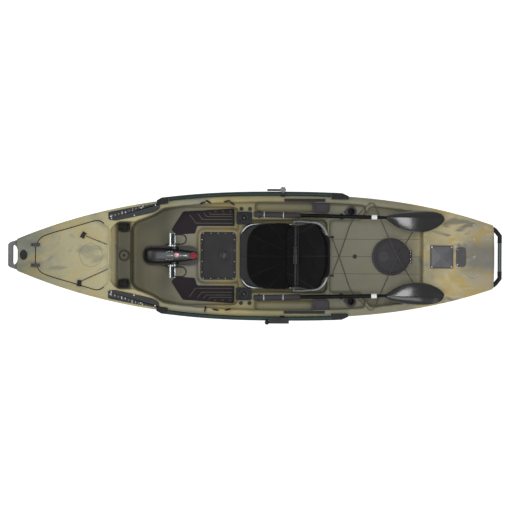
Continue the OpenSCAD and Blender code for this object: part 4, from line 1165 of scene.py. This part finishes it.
# Mesh pouches: knitted dark mesh sewn to a bound rim, full and slightly slumped on the shelf
# beside the paddles' shafts.
mesh_paint, net, shader = material("pouch_mesh")
x, y, z = coordinates(net)
wave = times(net, maths(net, "PINGPONG", x, 0.0025), maths(net, "PINGPONG", y, 0.0025))
knit = times(net, wave, 160000)
net.links.new(blend(net, knit, shown(80, 78, 82), shown(40, 39, 42)), shader.inputs["Base Color"])
shader.inputs["Roughness"].default_value = 0.9
shader.inputs["Specular IOR Level"].default_value = 0.1
bump(net, shader, knit, 0.0006)
low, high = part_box("mesh_pouches")
bags = []
for s in (1, -1):
    width = 0.054
    mid_y = s * (high[1] - width / 2)
    x0, x1 = low[0], high[0]
    outline = rounded([(x0, mid_y - width / 2), (x1, mid_y - width / 2), (x1, mid_y + width / 2),
                       (x0, mid_y + width / 2)], 0.012, 5)
    rings = [[(a, b, z_) for a, b in outset(outline, -d)] for d, z_ in (
        (0.003, low[2]), (0, low[2] + 0.003), (-0.0008, low[2] + 0.025), (0.0002, high[2] - 0.006),
        (0.001, high[2] - 0.001),
        (0.004, high[2]), (0.008, high[2] - 0.001), (0.013, high[2] - 0.005), (0.020, high[2] - 0.009))]
    bags.append(tidy(skin("pouch", rings)))
bags = join(bags, "pouch_bags")
smooth(bags, 50)
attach(bags, "hull")
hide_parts("mesh_pouches")
bags.data.materials.append(mesh_paint)

# Aft cover plate: the larger of the two moulded plates is pressed into a shallow pyramid, which
# stiffens it. Its screws are frame parts.
PLATE_X = 1.376
plate_rings = []
for half, lift in ((0.074, 0.0062), (0.0735, 0.0078), (0.070, 0.0084), (0.020, 0.0150), (0.012, 0.0155),
                   (0.004, 0.0155)):
    corners = [(PLATE_X - half, -half), (PLATE_X + half, -half), (PLATE_X + half, half),
               (PLATE_X - half, half)]
    plate_rings.append([(a, b, deck(a, b) + lift) for a, b in rounded(corners, min(0.006, half * 0.3), 3)])
pyramid = tidy(skin("aft_plate_press", plate_rings))
smooth(pyramid, 12)
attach(pyramid, "hull")
pyramid.data.materials.append(plastic("pressed_plate", shown(92, 92, 94), 0.45, gloss=0.35))

# Centre hatch hardware: small steel screws around the frame, and the latch's moulded ring with
# its finger bar.
low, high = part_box("centre_hatch_frame")
mid_x, mid_y = (low[0] + high[0]) / 2, 0.0
half_x, half_y = (high[0] - low[0]) / 2 - 0.011, (high[1] - low[1]) / 2 - 0.011
spots = [(mid_x + half_x * u, half_y * v) for u, v in (
    (-0.92, 1), (-0.45, 1), (0.0, 1), (0.45, 1), (0.92, 1), (-0.92, -1), (-0.45, -1), (0.0, -1), (0.45, -1),
    (0.92, -1),
    (1, 0.72), (1, 0.25), (1, -0.25), (1, -0.72), (-1, 0.72), (-1, 0.25), (-1, -0.25), (-1, -0.72))]
heads = join([screw_head((a, b, high[2]), 0.0034, 0.0016) for a, b in spots], "hatch_screws")
smooth(heads, 60)
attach(heads, "hull")
heads.data.materials.append(screw_steel)
LATCH_X = -0.242
low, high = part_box("centre_hatch_latch")
bpy.ops.object.select_all(action="DESELECT")
bpy.ops.mesh.primitive_torus_add(major_radius=0.031, minor_radius=0.0035, major_segments=40,
                                 minor_segments=10, location=(0, 0, 0))
ring = bpy.context.object
ring.data.transform(Matrix.Translation((LATCH_X, 0, high[2] + 0.0005)))
bar = block("bar", (LATCH_X, 0, high[2] + 0.003), (0.018, 0.046, 0.006), 0.002)
latch_ring = join([ring, bar], "latch_ring")
smooth(latch_ring, 40)
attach(latch_ring, "centre_latch")
latch_ring.data.materials.append(plastic("latch_black", shown(24, 24, 26), 0.35, gloss=0.5))

# Pedal straps: thick black rubber loops that go over the paddler's feet, moulded on to each foot
# plate and moving with it.
strap_rubber = plastic("strap_rubber", shown(20, 20, 21), 0.6, gloss=0.3)
for s, side_name in ((1, "starboard"), (-1, "port")):
    low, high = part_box("pedal_" + side_name)
    near, far = low[1], high[1]
    reach, half_w = high[0] - abs(far - near) / 2, abs(far - near) / 2 - 0.002
    centre_y = (near + far) / 2
    level = high[2] - 0.045
    route = [(low[0] + 0.012, centre_y - half_w, level)]
    route += [(reach + half_w * math.sin(math.radians(t)), centre_y - half_w * math.cos(math.radians(t)),
               level)
              for t in range(0, 181, 12)]
    route += [(low[0] + 0.012, centre_y + half_w, level)]
    loop = sweep("pedal_strap_" + side_name, [Vector(p) for p in route], 0.0045, 12)
    smooth(loop, 50)
    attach(loop, side_name + "_pedal")
    loop.data.materials.append(strap_rubber)

# Rope cleats and cord hooks: black nylon mouldings screwed to the gunwales beside the foot pads,
# each a foot, a neck and a horn.
cleats = []
for cx, cy, turn in ((-0.395, 0.392, 20), (-0.352, 0.400, -30), (-0.215, 0.405, 15), (-0.176, 0.388, -35),
                     (-0.295, -0.400, -12), (-0.205, -0.398, 12), (-0.373, -0.396, 80)):
    base = block("cleat", (0, 0, 0.0035), (0.034, 0.013, 0.007), 0.0025)
    horn = block("horn", (0, 0, 0.0125), (0.052, 0.006, 0.006), 0.0025)
    neck = block("neck", (0, 0, 0.008), (0.012, 0.007, 0.010), 0.002)
    cleat = join([base, horn, neck], "cleat")
    foot = Matrix.Translation((cx, cy, deck(cx, cy) + 0.0002))
    cleat.data.transform(foot @ Matrix.Rotation(math.radians(turn), 4, "Z"))
    cleats.append(cleat)
cleats = join(cleats, "cleats")
smooth(cleats, 40)
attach(cleats, "hull")
cleats.data.materials.append(strap_rubber)

# Moulded and metal fittings that keep the shape of their frame parts: each takes the finish of
# its material, or its own where the real piece is darker or paler than its neighbours.
finishes = {
    "hull_camo": hull_paint,
    "dark_moulding": plastic("dark_nylon", shown(66, 65, 68), 0.6, gloss=0.2),
    "black_moulding": plastic("black_nylon", shown(22, 22, 23), 0.5, gloss=0.3),
    "foam_pad": plastic("foam", shown(50, 47, 51), 0.95, gloss=0.1),
    "rail_metal": plastic("rail_anodised", shown(34, 50, 48), 0.35, metallic=0.3),
    "bright_metal": plastic("bright_anodised", shown(190, 194, 196), 0.28, metallic=1.0),
    "steel": plastic("stainless", shown(200, 200, 200), 0.25, metallic=1.0),
    "seat_mesh": plastic("seat_cloth", shown(14, 14, 14), 0.9, gloss=0.1),
    "red_plastic": plastic("red_knob", shown(130, 20, 30), 0.3),
    "fin_rubber": plastic("fin_elastomer", shown(30, 30, 32), 0.5),
    "blade_plastic": plastic("gloss_black", shown(14, 15, 18), 0.2, gloss=0.8),
    "cord": plastic("cord_sleeve", shown(46, 46, 42), 0.8),
    "seal_rubber": rubber,
}
by_node = {
    "clamp_knob": plastic("clamp_knob_metal", shown(88, 92, 97), 0.4, metallic=0.6),
    "steering_bases": plastic("steering_black", shown(18, 22, 22), 0.55, gloss=0.25),
    "steering_knob_starboard": plastic("knob_black", shown(24, 28, 28), 0.5, gloss=0.3),
    "steering_knob_port": plastic("knob_black_port", shown(24, 28, 28), 0.5, gloss=0.3),
    "bow_handle": plastic("bow_handle_nylon", shown(104, 106, 108), 0.6, gloss=0.2),
    "aft_panels": plastic("panel_nylon", shown(82, 82, 84), 0.6, gloss=0.2),
    "stern_grip": plastic("grip_tube", shown(88, 96, 96), 0.45, metallic=0.4),
    "rail_ends": plastic("rail_end_black", shown(20, 24, 24), 0.5, gloss=0.25),
    "cargo_bungees": cord_paint,
    "bow_hatch_cords": cord_paint,
    "gunwale_strips": plastic("strip_black", shown(38, 38, 41), 0.6, gloss=0.2),
}
slots = {row["node"]: row["material_slot"] for row in frame["record"]["subparts"]}
for node, part in frame["nodes"].items():
    if part.data.materials:
        part.data.materials[0] = by_node.get(node, finishes[slots[node]])
    else:
        part.data.materials.append(by_node.get(node, finishes[slots[node]]))
    smooth(part, 32)
